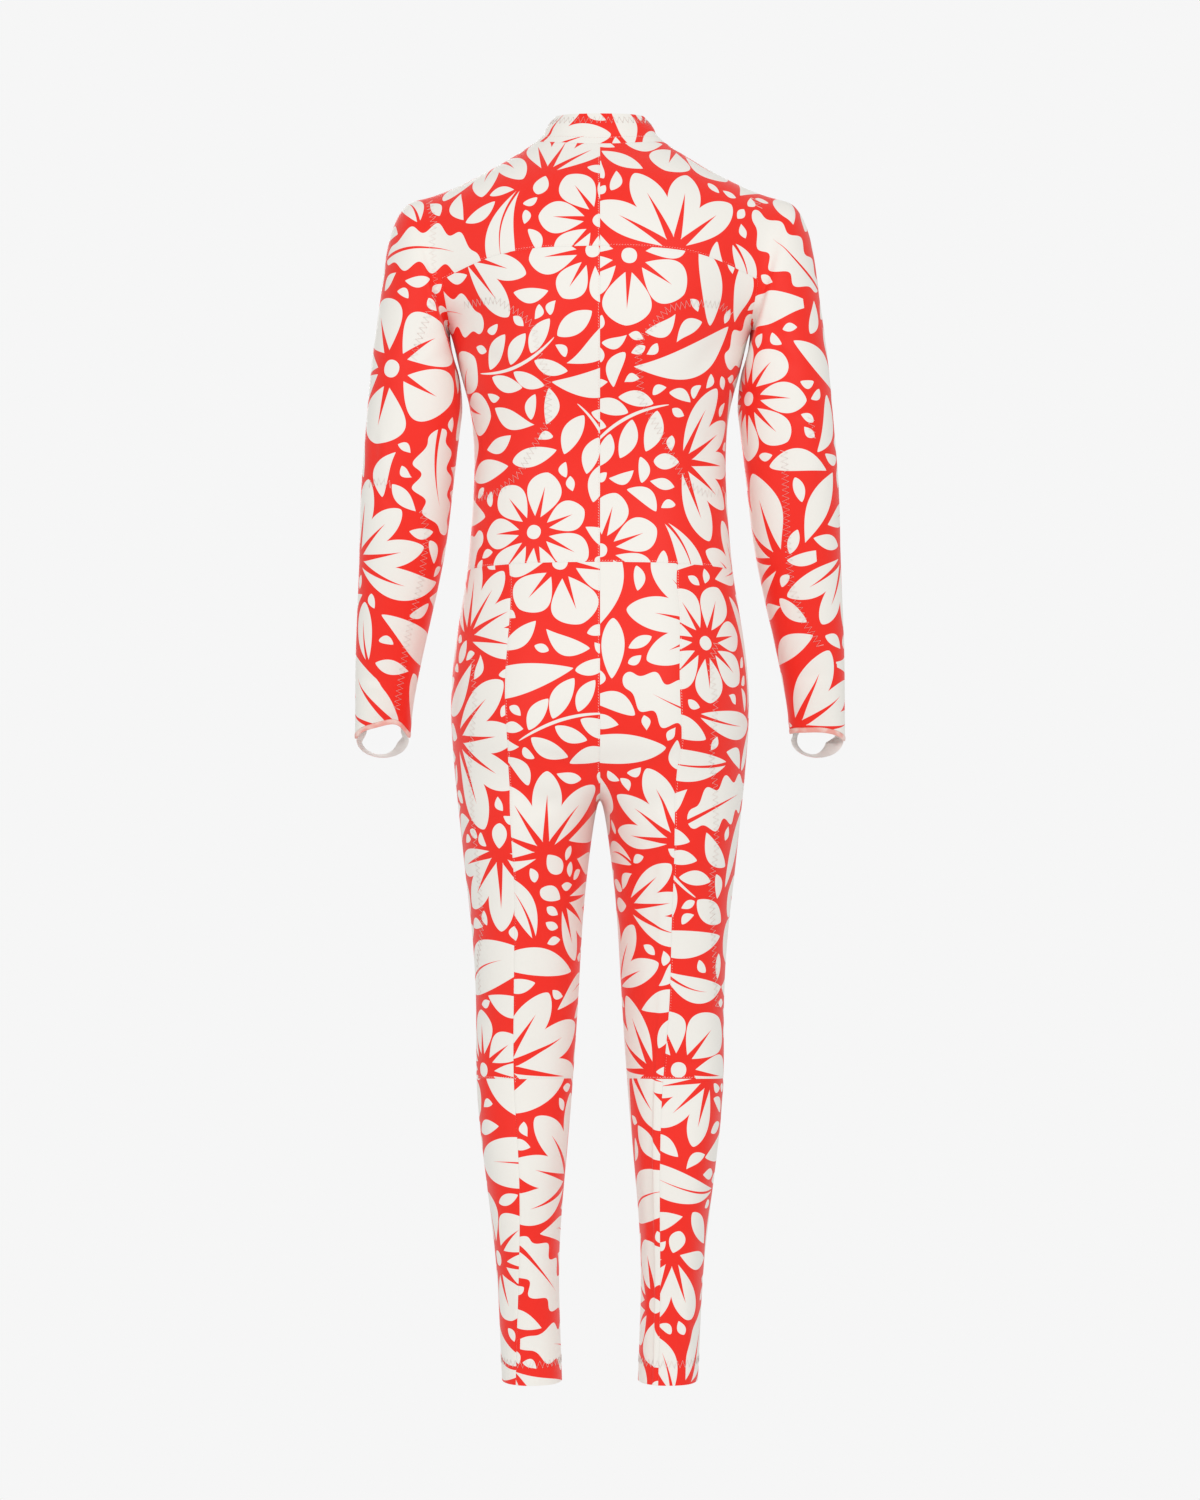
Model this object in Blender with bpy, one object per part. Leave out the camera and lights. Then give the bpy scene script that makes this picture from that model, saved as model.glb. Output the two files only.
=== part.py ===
"""A one-piece ski race suit, filled out as if worn, built from the pieces that a maker sews together.

The frame is +Z up, with the front of the suit towards -Y and its left side at +X. The origin is at the
nape, in the middle of the neck, where the wearer's shoulders carry the suit. One smooth skin is drawn
through measured sections, is divided into the cut pieces along its seams, and each piece is given its
thickness and parted from its neighbours by the seam gap. Section tables are in millimetres.
"""

import math
from typing import NamedTuple

import bmesh
import bpy
import numpy as np
from mathutils import Matrix, Vector

MM = 0.001

# Cloth, in metres
CLOTH = 0.0015
COLLAR_CLOTH = 0.0024
BINDING_CLOTH = 0.0022
SEAM_GAP = 0.0003

# Zip, in metres
ZIP_OPENING = 0.0074
ZIP_TAPE_WIDTH = 0.018
ZIP_TAPE = 0.0008
ZIP_CHAIN_WIDTH = 0.0056
ZIP_CHAIN = 0.0018
ZIP_BOTTOM = -0.600

# Slider and pull tab, in metres: x across the zip, y down it and z out from the cloth's face
SLIDER_DROP = 0.010
SLIDER_WIDTH = 0.0066
SLIDER_LENGTH = 0.0100
SLIDER_CORNER = 0.0014
SLIDER_BOTTOM = -0.0002
SLIDER_TOP = 0.0014
CROWN_WIDTH = 0.0016
CROWN_MIDDLE = -0.0002
CROWN_INNER = 0.0032
CROWN_INNER_RISE = 0.0029
CROWN_OUTER = 0.0042
CROWN_OUTER_RISE = 0.0038
CROWN_SUNK = 0.0002
CROWN_STEPS = 8
HINGE_DOWN = -0.0002
HINGE_OUT = 0.0026
PULL_WIDTH = 0.0054
PULL_LENGTH = 0.0240
PULL_THICK = 0.0014
PULL_BAR = 0.0014
PULL_STEPS = 6
EYE_WIDTH = 0.0024
EYE_LENGTH = 0.0068

COLUMNS = 16
SIDE = COLUMNS // 4
FRONT = COLUMNS // 2
BACK_SEAM = 2
FRONT_SEAM = 6
INSEAM = 10
SLEEVE_COLUMNS = 12
UNDERARM = 6

# Columns round one leg, in degrees from centre back: the inner back, the sides and the inseam's side.
# The back leg seam's own angle comes from its ring, and the two parts beside it are shares of a turn.
INNER_BACK = -36
INNER_BACK_SHARE = 0.52
OUTER_BACK_SHARE = 0.5
LEG_TURNS = (90, 118, 146, 176, 216, 243, 270, 297)

# Columns round the armhole, in degrees from its top, which even out over the sleeve's first rings
ARMHOLE_TURNS = (0, 36, 72, 108, 132, 154, 180, 206, 228, 252, 288, 324)
EVEN_BY_RING = 3

# Where the columns of a yoke row stand between centre and armhole
YOKE_SHARES = (0.0, 0.36, 0.70, 1.0)

# How square the rings are (2 is an ellipse), and how their heights and hollows bend
NECK_ROUND = 2.0
BODY_ROUND = 2.25
LEG_ROUND = 2.1
SLEEVE_ROUND = 2.1
HEIGHT_BEND = 1.5
DIP_REACH = 0.55
DIP_BEND = 1.3

# How the skin is smoothed and fitted through its points
SMOOTHING = 1
FITTING_ROUNDS = 12
FITTING_SHARE = 0.9
FOLD_FACING = 2.5
NEARLY_STRAIGHT = 0.2
ON_LINE = 1e-5
OFF_LINE = 1e-4
SHARP = 50


class NeckRing(NamedTuple):
    """A ring round the neck: half width, how far it reaches back and front, and its heights."""

    name: str
    half: float
    back: float
    front: float
    z_back: float
    z_side: float
    z_front: float


class YokeRow(NamedTuple):
    """A row between the armholes: its heights and depths at centre back and centre front, the angle
    round the armhole where it ends, and how late its height and its depth bend towards that end."""

    name: str
    z_back: float
    back: float
    z_front: float
    front: float
    armhole: float
    bend: float
    round: float


class BodyRing(NamedTuple):
    """A ring round the trunk. back_dip and front_dip are how far its middle lies behind its fullest
    parts, and seam_left and seam_right are how far out the back leg seams lie."""

    name: str
    z_back: float
    z_side: float
    half: float
    back: float
    front: float
    back_dip: float
    front_dip: float
    seam_left: float
    seam_right: float


class LegRing(NamedTuple):
    """A ring round one leg. centre is its middle's distance from the suit's middle."""

    name: str
    z_back: float
    z_side: float
    centre: float
    half: float
    back: float
    front: float
    seam_left: float
    seam_right: float


class SleeveRing(NamedTuple):
    """A ring round the sleeve, from its outermost point to its innermost point."""

    name: str
    x_out: float
    z_out: float
    x_in: float
    z_in: float
    depth: float
    middle: float
    lift: float


class Fold(NamedTuple):
    """A soft trough in the cloth: its middle, which face it is on (1 back, -1 front), the way it runs
    in degrees, how far it reaches along and across, and how deep it is."""

    name: str
    x: float
    z: float
    face: int
    turn: float
    along: float
    across: float
    depth: float


NECK_RINGS = (
    NeckRing("collar_top", 47.5, 36, 60, 33.8, 36.0, 2.0),
    NeckRing("collar_middle", 58.5, 42, 65, 17.0, 22.0, -19.0),
    NeckRing("neckline", 69.5, 48, 72, 0.0, 8.5, -40.0),
    NeckRing("neck_base", 126.0, 68, 90, -23.0, -26.5, -65.0),
)

YOKE_ROWS = (
    YokeRow("shoulder", -49.0, 86, -92.0, 103, 36, 1.6, 2.1),
    YokeRow("upper_yoke", -82.0, 101, -118.0, 110, 72, 2.2, 2.1),
    YokeRow("yoke_seam", -117.8, 110, -146.0, 115, 108, 3.3, 2.15),
    YokeRow("blade", -160.0, 114, -176.0, 118, 132, 2.4, 2.4),
    YokeRow("armpit", -203.0, 112.5, -207.0, 119, 154, 2.0, 2.75),
)

BODY_RINGS = (
    BodyRing("ribs", -240.0, -236.0, 150.0, 107, 115, 2, 0, 0, 0),
    BodyRing("lower_ribs", -283.0, -280.0, 138.6, 97, 109, 4, 0, 0, 0),
    BodyRing("waist", -334.0, -332.0, 134.6, 88, 101, 4, 0, 0, 0),
    BodyRing("high_hip", -392.0, -391.0, 136.8, 88, 98, 3, 0, 0, 0),
    BodyRing("waist_seam", -445.0, -450.0, 142.2, 96, 98, 2, 0, 95.7, 82.0),
    BodyRing("hip_1", -489.0, -491.0, 148.6, 108, 99, 3, 0, 93.8, 82.5),
    BodyRing("hip_2", -535.5, -536.5, 155.6, 120, 99, 4, 0, 97.0, 83.0),
    BodyRing("hip_3", -587.0, -588.0, 159.4, 127, 98, 7, 2, 99.0, 83.4),
    BodyRing("hip_4", -634.0, -636.0, 157.8, 123, 98, 12, 10, 96.5, 84.8),
    BodyRing("crotch", -664.0, -681.0, 154.0, 112, 100, 18, 26, 95.5, 80.0),
)

# Where the seam under the crotch runs, back to front: depth and height
CROTCH_BACK = (56.0, -689.0)
CROTCH = (2.0, -696.0)
CROTCH_FRONT = (-46.0, -688.0)

LEG_RINGS = (
    LegRing("thigh_1", -729.0, -730.0, 78.4, 70.4, 92, 87, 93.0, 77.9),
    LegRing("thigh_2", -778.0, -779.5, 78.9, 64.6, 82, 82, 90.2, 77.0),
    LegRing("thigh_3", -834.0, -835.5, 78.2, 59.0, 71, 76, 90.3, 75.0),
    LegRing("thigh_4", -909.0, -911.0, 78.2, 54.7, 61, 69, 91.0, 73.1),
    LegRing("knee_seam", -988.5, -992.5, 80.6, 51.7, 53, 61, 91.1, 66.7),
    LegRing("calf_1", -1058.0, -1060.0, 80.6, 46.3, 57, 53, 86.9, 63.6),
    LegRing("calf_2", -1124.0, -1125.0, 79.5, 39.4, 56, 43, 84.8, 63.0),
    LegRing("calf_3", -1190.0, -1190.0, 77.6, 33.9, 47, 35, 85.9, 63.6),
    LegRing("calf_4", -1254.0, -1254.0, 75.2, 32.4, 41, 31, 88.1, 63.1),
    LegRing("hem", -1315.0, -1315.5, 72.8, 32.2, 40, 31, 89.6, 61.5),
)

ARMHOLE = SleeveRing("armhole", 180.9, -49.2, 159.5, -195.9, 55, 0, 0)

SLEEVE_RINGS = (
    SleeveRing("cap", 208.5, -60.0, 158.6, -214.0, 57, 0, 0),
    SleeveRing("upper_arm_1", 225.6, -97.0, 152.3, -235.0, 56, 1, 0),
    SleeveRing("upper_arm_2", 234.6, -156.0, 148.6, -256.0, 54, 2, 0),
    SleeveRing("upper_arm_3", 243.8, -226.0, 147.4, -277.0, 52, 4, 0),
    SleeveRing("elbow", 250.3, -296.0, 150.2, -302.0, 50, 4, 0),
    SleeveRing("forearm_1", 256.0, -366.0, 158.0, -366.0, 47, -1, 0),
    SleeveRing("forearm_2", 258.8, -440.0, 168.6, -440.0, 43, -11, 0),
    SleeveRing("forearm_3", 263.2, -525.0, 188.0, -525.0, 36, -25, 0),
    SleeveRing("wrist", 264.8, -588.0, 201.2, -588.0, 30, -35, 0),
    SleeveRing("sleeve_end", 265.4, -624.0, 205.2, -624.0, 26, -40, 6.5),
    SleeveRing("binding_end", 265.4, -629.5, 205.8, -629.5, 25, -41, 6.5),
)

FOLDS = (
    Fold("armpit_back_left", 118.0, -232.0, 1, 42, 34, 15, 4.5),
    Fold("armpit_back_right", -120.0, -226.0, 1, 134, 30, 14, 4.0),
    Fold("armpit_front_left", 124.0, -226.0, -1, 48, 30, 15, 4.5),
    Fold("armpit_front_right", -122.0, -234.0, -1, 130, 34, 14, 4.0),
    Fold("seat_left", 62.0, -694.0, 1, 24, 36, 12, 4.0),
    Fold("seat_right", -58.0, -700.0, 1, 160, 30, 12, 3.0),
    Fold("groin_left", 66.0, -668.0, -1, 40, 40, 13, 4.0),
    Fold("groin_right", -68.0, -664.0, -1, 138, 36, 13, 4.5),
)

# The hand loop's two edges: half width, depth, height of its sewn ends, and how far it hangs
LOOP_STEPS = 14
LOOP_NEAR = (29.2, -41.0, -630.0, 20.5)
LOOP_FAR = (21.2, -59.0, -626.6, 20.5)

RED = (0.86, 0.07, 0.045, 1.0)
OFF_WHITE = (0.84, 0.83, 0.79, 1.0)
PALE_PINK = (0.86, 0.66, 0.60, 1.0)
ZIP_WHITE = (0.80, 0.80, 0.78, 1.0)
METAL = (0.55, 0.55, 0.56, 1.0)


def clear_scene():
    for obj in list(bpy.data.objects):
        bpy.data.objects.remove(obj)


def material(name, colour, roughness, metallic=0.0):
    made = bpy.data.materials.new(name)
    made.use_nodes = True
    shader = made.node_tree.nodes["Principled BSDF"]
    shader.inputs["Base Color"].default_value = colour
    shader.inputs["Roughness"].default_value = roughness
    shader.inputs["Metallic"].default_value = metallic
    return made


def rounded(angle, power):
    """Sine and cosine of a superellipse, in degrees. A power of 2 is an ellipse."""
    s = math.sin(math.radians(angle))
    c = math.cos(math.radians(angle))
    return math.copysign(abs(s) ** (2 / power), s), math.copysign(abs(c) ** (2 / power), c)


def blend(a, b, share):
    return a + (b - a) * share


def neck_points(ring):
    """All columns of a ring round the neck, from centre back by way of the left side."""
    points = []
    for column in range(COLUMNS):
        s, c = rounded(360 * column / COLUMNS, NECK_ROUND)
        depth = ring.back if c > 0 else ring.front
        end = ring.z_back if c > 0 else ring.z_front
        points.append((ring.half * s, depth * c, blend(ring.z_side, end, c * c)))
    return points


def armhole_point(angle):
    """A point of the left armhole, measured from the shoulder's top towards the back."""
    s, c = math.sin(math.radians(angle)), math.cos(math.radians(angle))
    share = (1 - c) / 2
    x = blend(ARMHOLE.x_out, ARMHOLE.x_in, share)
    return (x, ARMHOLE.depth * s, blend(ARMHOLE.z_out, ARMHOLE.z_in, share))


def yoke_points(row):
    """The columns of a row between the armholes. The armhole's own side is left out."""
    points = {}
    for first, depth, height, angle in (
        (0, row.back, row.z_back, row.armhole),
        (FRONT, -row.front, row.z_front, -row.armhole),
    ):
        end = armhole_point(angle)
        step = 1 if first == 0 else -1
        for n, share in enumerate(YOKE_SHARES):
            x = end[0] * share
            y = blend(depth, end[1], share**row.round)
            z = blend(height, end[2], share**row.bend)
            points[first + n * step] = (x, y, z)
            points[(COLUMNS - first - n * step) % COLUMNS] = (-x, y, z)
    return points


def seam_angle(distance, half, power):
    """The angle on a superellipse where its sideways distance is the one given."""
    share = min(0.98, max(-0.98, distance / half))
    return math.degrees(math.asin(math.copysign(abs(share) ** (power / 2), share)))


def body_points(ring):
    """All columns of a ring round the trunk, with the back leg seams at their own distances."""
    points = []
    for column in range(COLUMNS):
        angle = 360 * column / COLUMNS
        seam = ring.seam_left if column < FRONT else ring.seam_right
        from_back = min(column, COLUMNS - column)
        if seam and from_back < SIDE:
            at_seam = seam_angle(seam, ring.half, BODY_ROUND)
            if from_back <= BACK_SEAM:
                turned = at_seam * from_back / BACK_SEAM
            else:
                turned = blend(at_seam, 90, (from_back - BACK_SEAM) / (SIDE - BACK_SEAM))
            angle = turned if column < FRONT else -turned
        s, c = rounded(angle, BODY_ROUND)
        depth, dip = (ring.back, ring.back_dip) if c > 0 else (ring.front, ring.front_dip)
        hollow = dip * max(0.0, 1 - abs(s) / DIP_REACH) ** DIP_BEND
        y = (depth - hollow) * c
        points.append((ring.half * s, y, blend(ring.z_side, ring.z_back, abs(c) ** HEIGHT_BEND)))
    return points


def leg_points(ring, side):
    """The columns of a ring round one leg, from the one under centre back, outwards and round."""
    seam = ring.seam_left if side > 0 else ring.seam_right
    at_seam = seam_angle(seam - ring.centre, ring.half, LEG_ROUND)
    inner_back = blend(INNER_BACK, at_seam, INNER_BACK_SHARE)
    outer_back = blend(at_seam, LEG_TURNS[0], OUTER_BACK_SHARE)
    points = []
    for angle in (INNER_BACK, inner_back, at_seam, outer_back, *LEG_TURNS):
        s, c = rounded(angle, LEG_ROUND)
        depth = ring.back if c > 0 else ring.front
        height = blend(ring.z_side, ring.z_back, abs(c))
        points.append((side * (ring.centre + ring.half * s), depth * c, height))
    return points


def sleeve_points(ring, number, side):
    """The columns of a ring round one sleeve, from its outermost point by way of the back."""
    even = min(1.0, number / EVEN_BY_RING)
    points = []
    for column in range(SLEEVE_COLUMNS):
        angle = blend(ARMHOLE_TURNS[column], 360 * column / SLEEVE_COLUMNS, even)
        s, c = rounded(angle, SLEEVE_ROUND)
        share = (1 - c) / 2
        x = blend(ring.x_out, ring.x_in, share)
        z = blend(ring.z_out, ring.z_in, share) + ring.lift * abs(s) ** HEIGHT_BEND
        points.append((side * x, ring.middle + ring.depth * s, z))
    return points


def side_name(name, side):
    return f"{name}_{'left' if side > 0 else 'right'}"


class Skin:
    """The low cage whose smoothed surface is the outside of the suit."""

    def __init__(self):
        self.bm = bmesh.new()
        self.slit = self.bm.edges.layers.int.new("slit")
        self.pieces = []
        self.targets = []

    def point(self, place):
        vert = self.bm.verts.new(Vector(place) * MM)
        self.targets.append(Vector(place) * MM)
        return vert

    def face(self, corners, piece):
        if piece not in self.pieces:
            self.pieces.append(piece)
        made = self.bm.faces.new(corners)
        made.material_index = self.pieces.index(piece)

    def band(self, upper, lower, piece_of):
        """Faces between two rows. A row is a list, or a dict that leaves out some columns."""
        count = COLUMNS if isinstance(upper, dict) else len(upper)
        for column in range(count):
            after = (column + 1) % count
            corners = [row[at] for row, at in ((upper, column), (upper, after)) if at in keys(row)]
            corners += [row[at] for row, at in ((lower, after), (lower, column)) if at in keys(row)]
            if len(corners) == 4:
                self.face(corners, piece_of(column))

    def cut(self, row_a, row_b, column):
        """Marks the edge down one column as a slit in its piece."""
        edge = self.bm.edges.get((row_a[column], row_b[column]))
        edge[self.slit] = 1


def keys(row):
    return row if isinstance(row, dict) else range(len(row))


def trunk_piece(name):
    """Which cut piece each column of a trunk band belongs to, by the row under the band."""
    above_yoke_seam = ("neck_base", "shoulder", "upper_yoke", "yoke_seam")
    below = [ring.name for ring in BODY_RINGS]
    hips = below[below.index("waist_seam") + 1 :]

    def piece(column):
        side = 1 if column < FRONT else -1
        from_back = column if side > 0 else COLUMNS - 1 - column
        if name in hips:
            part = "seat" if from_back < BACK_SEAM else "side" if from_back < FRONT_SEAM else "thigh"
            return side_name(part, side)
        if name in above_yoke_seam:
            return side_name("sleeve" if from_back <= SIDE else "front", side)
        return side_name("back" if from_back < SIDE else "front", side)

    return piece


def leg_piece(name, side):
    """Which cut piece each column of a leg band belongs to, by the row under the band."""
    calf = name.startswith("calf") or name == "hem"

    def piece(column):
        if column < BACK_SEAM or column >= INSEAM:
            part = "calf_back" if calf else "seat"
        elif column < FRONT_SEAM:
            part = "calf_side" if calf else "side"
        else:
            part = "calf_front" if calf else "thigh"
        return side_name(part, side)

    return piece


def build_cage():
    skin = Skin()
    rows = [[skin.point(p) for p in neck_points(ring)] for ring in NECK_RINGS]
    for upper, lower, ring in zip(rows, rows[1:], NECK_RINGS[1:]):
        if ring.name == "neck_base":
            skin.band(upper, lower, trunk_piece(ring.name))
        else:
            skin.band(upper, lower, lambda column: "collar")
            skin.cut(upper, lower, FRONT)
    above = dict(enumerate(rows[-1]))

    armholes = {1: {}, -1: {}}
    for number, row in enumerate(YOKE_ROWS):
        made = {column: skin.point(p) for column, p in yoke_points(row).items()}
        for side, first in ((1, SIDE), (-1, COLUMNS - SIDE)):
            if number == 0 or number == len(YOKE_ROWS) - 1:
                x, y, z = armhole_point(0 if number == 0 else 180)
                made[first] = skin.point((side * x, y, z))
            armholes[side][number] = (made, first)
        skin.band(above, made, trunk_piece(row.name))
        above = made

    for ring in BODY_RINGS:
        made = dict(enumerate(skin.point(p) for p in body_points(ring)))
        skin.band(above, made, trunk_piece(ring.name))
        above = made

    under = [skin.point((0, *place)) for place in (CROTCH_FRONT, CROTCH, CROTCH_BACK)]
    for side in (1, -1):
        build_leg(skin, side, above, under)
        build_sleeve(skin, side, armholes[side])
    return skin


def build_leg(skin, side, crotch_ring, under):
    order = range(FRONT + 1) if side > 0 else [-n % COLUMNS for n in range(FRONT + 1)]
    above = [crotch_ring[column] for column in order] + under
    for ring in LEG_RINGS:
        made = [skin.point(p) for p in leg_points(ring, side)]
        skin.band(above, made, leg_piece(ring.name, side))
        above = made


def build_sleeve(skin, side, armhole):
    last = len(YOKE_ROWS) - 1
    down = [armhole[number][0] for number in range(last + 1)]
    middle = armhole[0][1]
    above = [down[0][middle]] + [row[middle - side] for row in down]
    above += [down[last][middle]] + [row[middle + side] for row in reversed(down)]
    for number, ring in enumerate(SLEEVE_RINGS, 1):
        made = [skin.point(p) for p in sleeve_points(ring, number, side)]
        name = "cuff" if ring.name == "binding_end" else "sleeve"
        skin.band(above, made, lambda column: side_name(name, side))
        if name == "sleeve":
            skin.cut(above, made, UNDERARM)
        above = made


def smooth_skin(skin, levels):
    """The cage's smoothed surface, drawn out until it passes through every measured point."""
    bmesh.ops.recalc_face_normals(skin.bm, faces=skin.bm.faces)
    mesh = bpy.data.meshes.new("suit_cage")
    skin.bm.to_mesh(mesh)
    holder = bpy.data.objects.new("suit_cage", mesh)
    bpy.context.scene.collection.objects.link(holder)
    subdivision = holder.modifiers.new("smooth", "SUBSURF")
    subdivision.levels = subdivision.render_levels = 1
    for _ in range(FITTING_ROUNDS):
        graph = bpy.context.evaluated_depsgraph_get()
        fitted = holder.evaluated_get(graph).to_mesh()
        for number, target in enumerate(skin.targets):
            mesh.vertices[number].co += FITTING_SHARE * (target - fitted.vertices[number].co)
        holder.evaluated_get(graph).to_mesh_clear()
        mesh.update()
    subdivision.levels = subdivision.render_levels = levels
    graph = bpy.context.evaluated_depsgraph_get()
    fine = bpy.data.meshes.new_from_object(holder.evaluated_get(graph))
    bpy.data.objects.remove(holder)
    return fine


def fold_depth(place, normal):
    """How far the folds press this point of the skin inwards, in millimetres."""
    total = 0.0
    for fold in FOLDS:
        facing = min(1.0, max(0.0, FOLD_FACING * normal.y * fold.face))
        right, up = place.x / MM - fold.x, place.z / MM - fold.z
        c, s = math.cos(math.radians(fold.turn)), math.sin(math.radians(fold.turn))
        along, across = (right * c + up * s) / fold.along, (up * c - right * s) / fold.across
        total += facing * fold.depth * math.exp(-(along**2) - across**2)
    return total


class Surface:
    """The smoothed skin's points, normals, faces and slits, ready to be divided into pieces."""

    def __init__(self, mesh):
        rearmost = max(mesh.vertices, key=lambda v: v.co.y)
        if rearmost.normal.y < 0:
            mesh.flip_normals()
        for vert in mesh.vertices:
            vert.co -= fold_depth(vert.co, vert.normal) * MM * vert.normal
        mesh.update()
        self.points = [v.co.copy() for v in mesh.vertices]
        self.normals = [v.normal.copy() for v in mesh.vertices]
        self.faces = [tuple(p.vertices) for p in mesh.polygons]
        self.piece = [p.material_index for p in mesh.polygons]
        slits = mesh.attributes["slit"].data
        self.slits = {frozenset(e.vertices) for e in mesh.edges if slits[e.index].value}
        self.uses = {}
        for number, face in enumerate(self.faces):
            for edge in edges_of(face):
                self.uses.setdefault(frozenset(edge), []).append(number)

    def half_gap(self, edge):
        """How far a piece keeps back from this edge: none at an open edge, more beside the zip."""
        if len(self.uses[edge]) == 1:
            return 0.0
        ends = [self.points[n] for n in edge]
        on_zip = all(abs(p.x) < ON_LINE and p.y < 0 and p.z > ZIP_BOTTOM for p in ends)
        return ZIP_OPENING / 2 if on_zip else SEAM_GAP / 2


def edges_of(face):
    return list(zip(face, face[1:] + face[:1]))


def fans(surface, faces):
    """The corners of a piece's faces, numbered so that faces across a seam don't share a point."""
    inside = set(faces)
    parent = {(f, v): (f, v) for f in faces for v in surface.faces[f]}

    def root(corner):
        while parent[corner] != corner:
            corner = parent[corner]
        return corner

    rim = []
    for f in faces:
        for edge in edges_of(surface.faces[f]):
            key = frozenset(edge)
            others = [g for g in surface.uses[key] if g != f and g in inside]
            if others and key not in surface.slits:
                for v in edge:
                    parent[root((f, v))] = root((others[0], v))
            else:
                rim.append((f, edge))
    return {corner: root(corner) for corner in parent}, rim


def drawn_back(surface, corner_of, rim):
    """How far each point on a piece's rim moves into the piece, so that the seam gap is left."""
    pulls = {}
    for f, (a, b) in rim:
        pa, pb = surface.points[a], surface.points[b]
        normal = (surface.normals[a] + surface.normals[b]).normalized()
        inward = normal.cross(pb - pa).normalized()
        gap = surface.half_gap(frozenset((a, b)))
        for v in (a, b):
            pulls.setdefault(corner_of[(f, v)], []).append((inward, gap))
    moves = {}
    for corner, found in pulls.items():
        rows = np.array([list(inward) for inward, _ in found])
        gaps = np.array([gap for _, gap in found])
        moves[corner] = Vector(np.linalg.lstsq(rows, gaps, rcond=NEARLY_STRAIGHT)[0])
    return moves


def wall(surface, name, faces, thickness, finish):
    """One cut piece as a closed wall: its outer face, its inner face and its cut edge."""
    corner_of, rim = fans(surface, faces)
    moves = drawn_back(surface, corner_of, rim)
    bm = bmesh.new()
    outer, inner = {}, {}
    for corner in sorted(set(corner_of.values())):
        vert = corner[1]
        place = surface.points[vert] + moves.get(corner, Vector())
        outer[corner] = bm.verts.new(place)
        inner[corner] = bm.verts.new(place - thickness * surface.normals[vert])
    for f in faces:
        corners = [corner_of[(f, v)] for v in surface.faces[f]]
        bm.faces.new([outer[c] for c in corners])
        bm.faces.new([inner[c] for c in reversed(corners)])
    for f, (a, b) in rim:
        first, second = corner_of[(f, a)], corner_of[(f, b)]
        bm.faces.new([outer[second], outer[first], inner[first], inner[second]])
    return object_from(bm, name, finish)


def object_from(bm, name, finish):
    mesh = bpy.data.meshes.new(name)
    bm.to_mesh(mesh)
    bm.free()
    mesh.shade_smooth()
    mesh.set_sharp_from_angle(angle=math.radians(SHARP))
    obj = bpy.data.objects.new(name, mesh)
    bpy.context.scene.collection.objects.link(obj)
    mesh.materials.append(finish)
    return obj


def strip(name, sections, finish):
    """A closed strip lofted through sections, each a loop of the same number of points."""
    bm = bmesh.new()
    loops = [[bm.verts.new(p) for p in section] for section in sections]
    count = len(loops[0])
    for upper, lower in zip(loops, loops[1:]):
        for n in range(count):
            after = (n + 1) % count
            bm.faces.new([upper[n], upper[after], lower[after], lower[n]])
    bm.faces.new(list(reversed(loops[0])))
    bm.faces.new(loops[-1])
    bmesh.ops.recalc_face_normals(bm, faces=bm.faces)
    return object_from(bm, name, finish)


def zip_line(surface):
    """The points down centre front that the zip follows, with their neighbours on either side."""
    line = [n for n, p in enumerate(surface.points) if abs(p.x) < ON_LINE and p.y < 0]
    line = sorted((n for n in line if surface.points[n].z > ZIP_BOTTOM), key=lambda n: -surface.points[n].z)
    ends = set(line)
    beside = {}
    for edge in surface.uses:
        a, b = edge
        for here, there in ((a, b), (b, a)):
            if here in ends and there not in ends and abs(surface.points[there].x) > OFF_LINE:
                side = 1 if surface.points[there].x > 0 else -1
                beside[(here, side)] = there
    return line, beside


def zip_place(surface, beside, here, across, depth):
    """A point at a distance across the zip, on the flat of the panel there, moved in by depth."""
    start = surface.points[here]
    there = beside[(here, 1 if across >= 0 else -1)]
    end = surface.points[there]
    share = abs(across) / (end - start).length
    normal = surface.normals[here].lerp(surface.normals[there], share).normalized()
    return start.lerp(end, share) - depth * normal


def build_zip_strips(surface, line, beside, cloth, teeth):
    """The tape behind the panels' edges and the chain of teeth that lies on it in the opening."""
    tape, chain = [], []
    seam = next(ring.z_front * MM for ring in NECK_RINGS if ring.name == "neckline")
    for here in line:
        on_collar = surface.points[here].z > seam - OFF_LINE
        face = (COLLAR_CLOTH if on_collar else CLOTH) + SEAM_GAP
        sides = (ZIP_TAPE_WIDTH / 2, 0.0, -ZIP_TAPE_WIDTH / 2)
        near = [zip_place(surface, beside, here, across, face) for across in sides]
        far = [zip_place(surface, beside, here, across, face + ZIP_TAPE) for across in sides]
        tape.append(near + far[::-1])
        low, high = face - SEAM_GAP, face - SEAM_GAP - ZIP_CHAIN
        half = ZIP_CHAIN_WIDTH / 2
        near = [zip_place(surface, beside, here, across, high) for across in (half, -half)]
        far = [zip_place(surface, beside, here, across, low) for across in (half, -half)]
        chain.append(near + far[::-1])
    strip("zip_tape", tape, cloth)
    strip("zip_chain", chain[:-1], teeth)


def slider_frame(surface, line):
    """Where the slider sits, as a matrix: its x lies across the zip, its y down it and its z out."""
    top = surface.points[line[0]]
    below = surface.points[line[1]]
    down = (below - top).normalized()
    out = Vector((1, 0, 0)).cross(down)
    if out.y > 0:
        out = -out
    across = down.cross(out)
    place = top + SLIDER_DROP * down
    frame = Matrix((across, down, out)).transposed().to_4x4()
    frame.translation = place
    return frame


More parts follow.
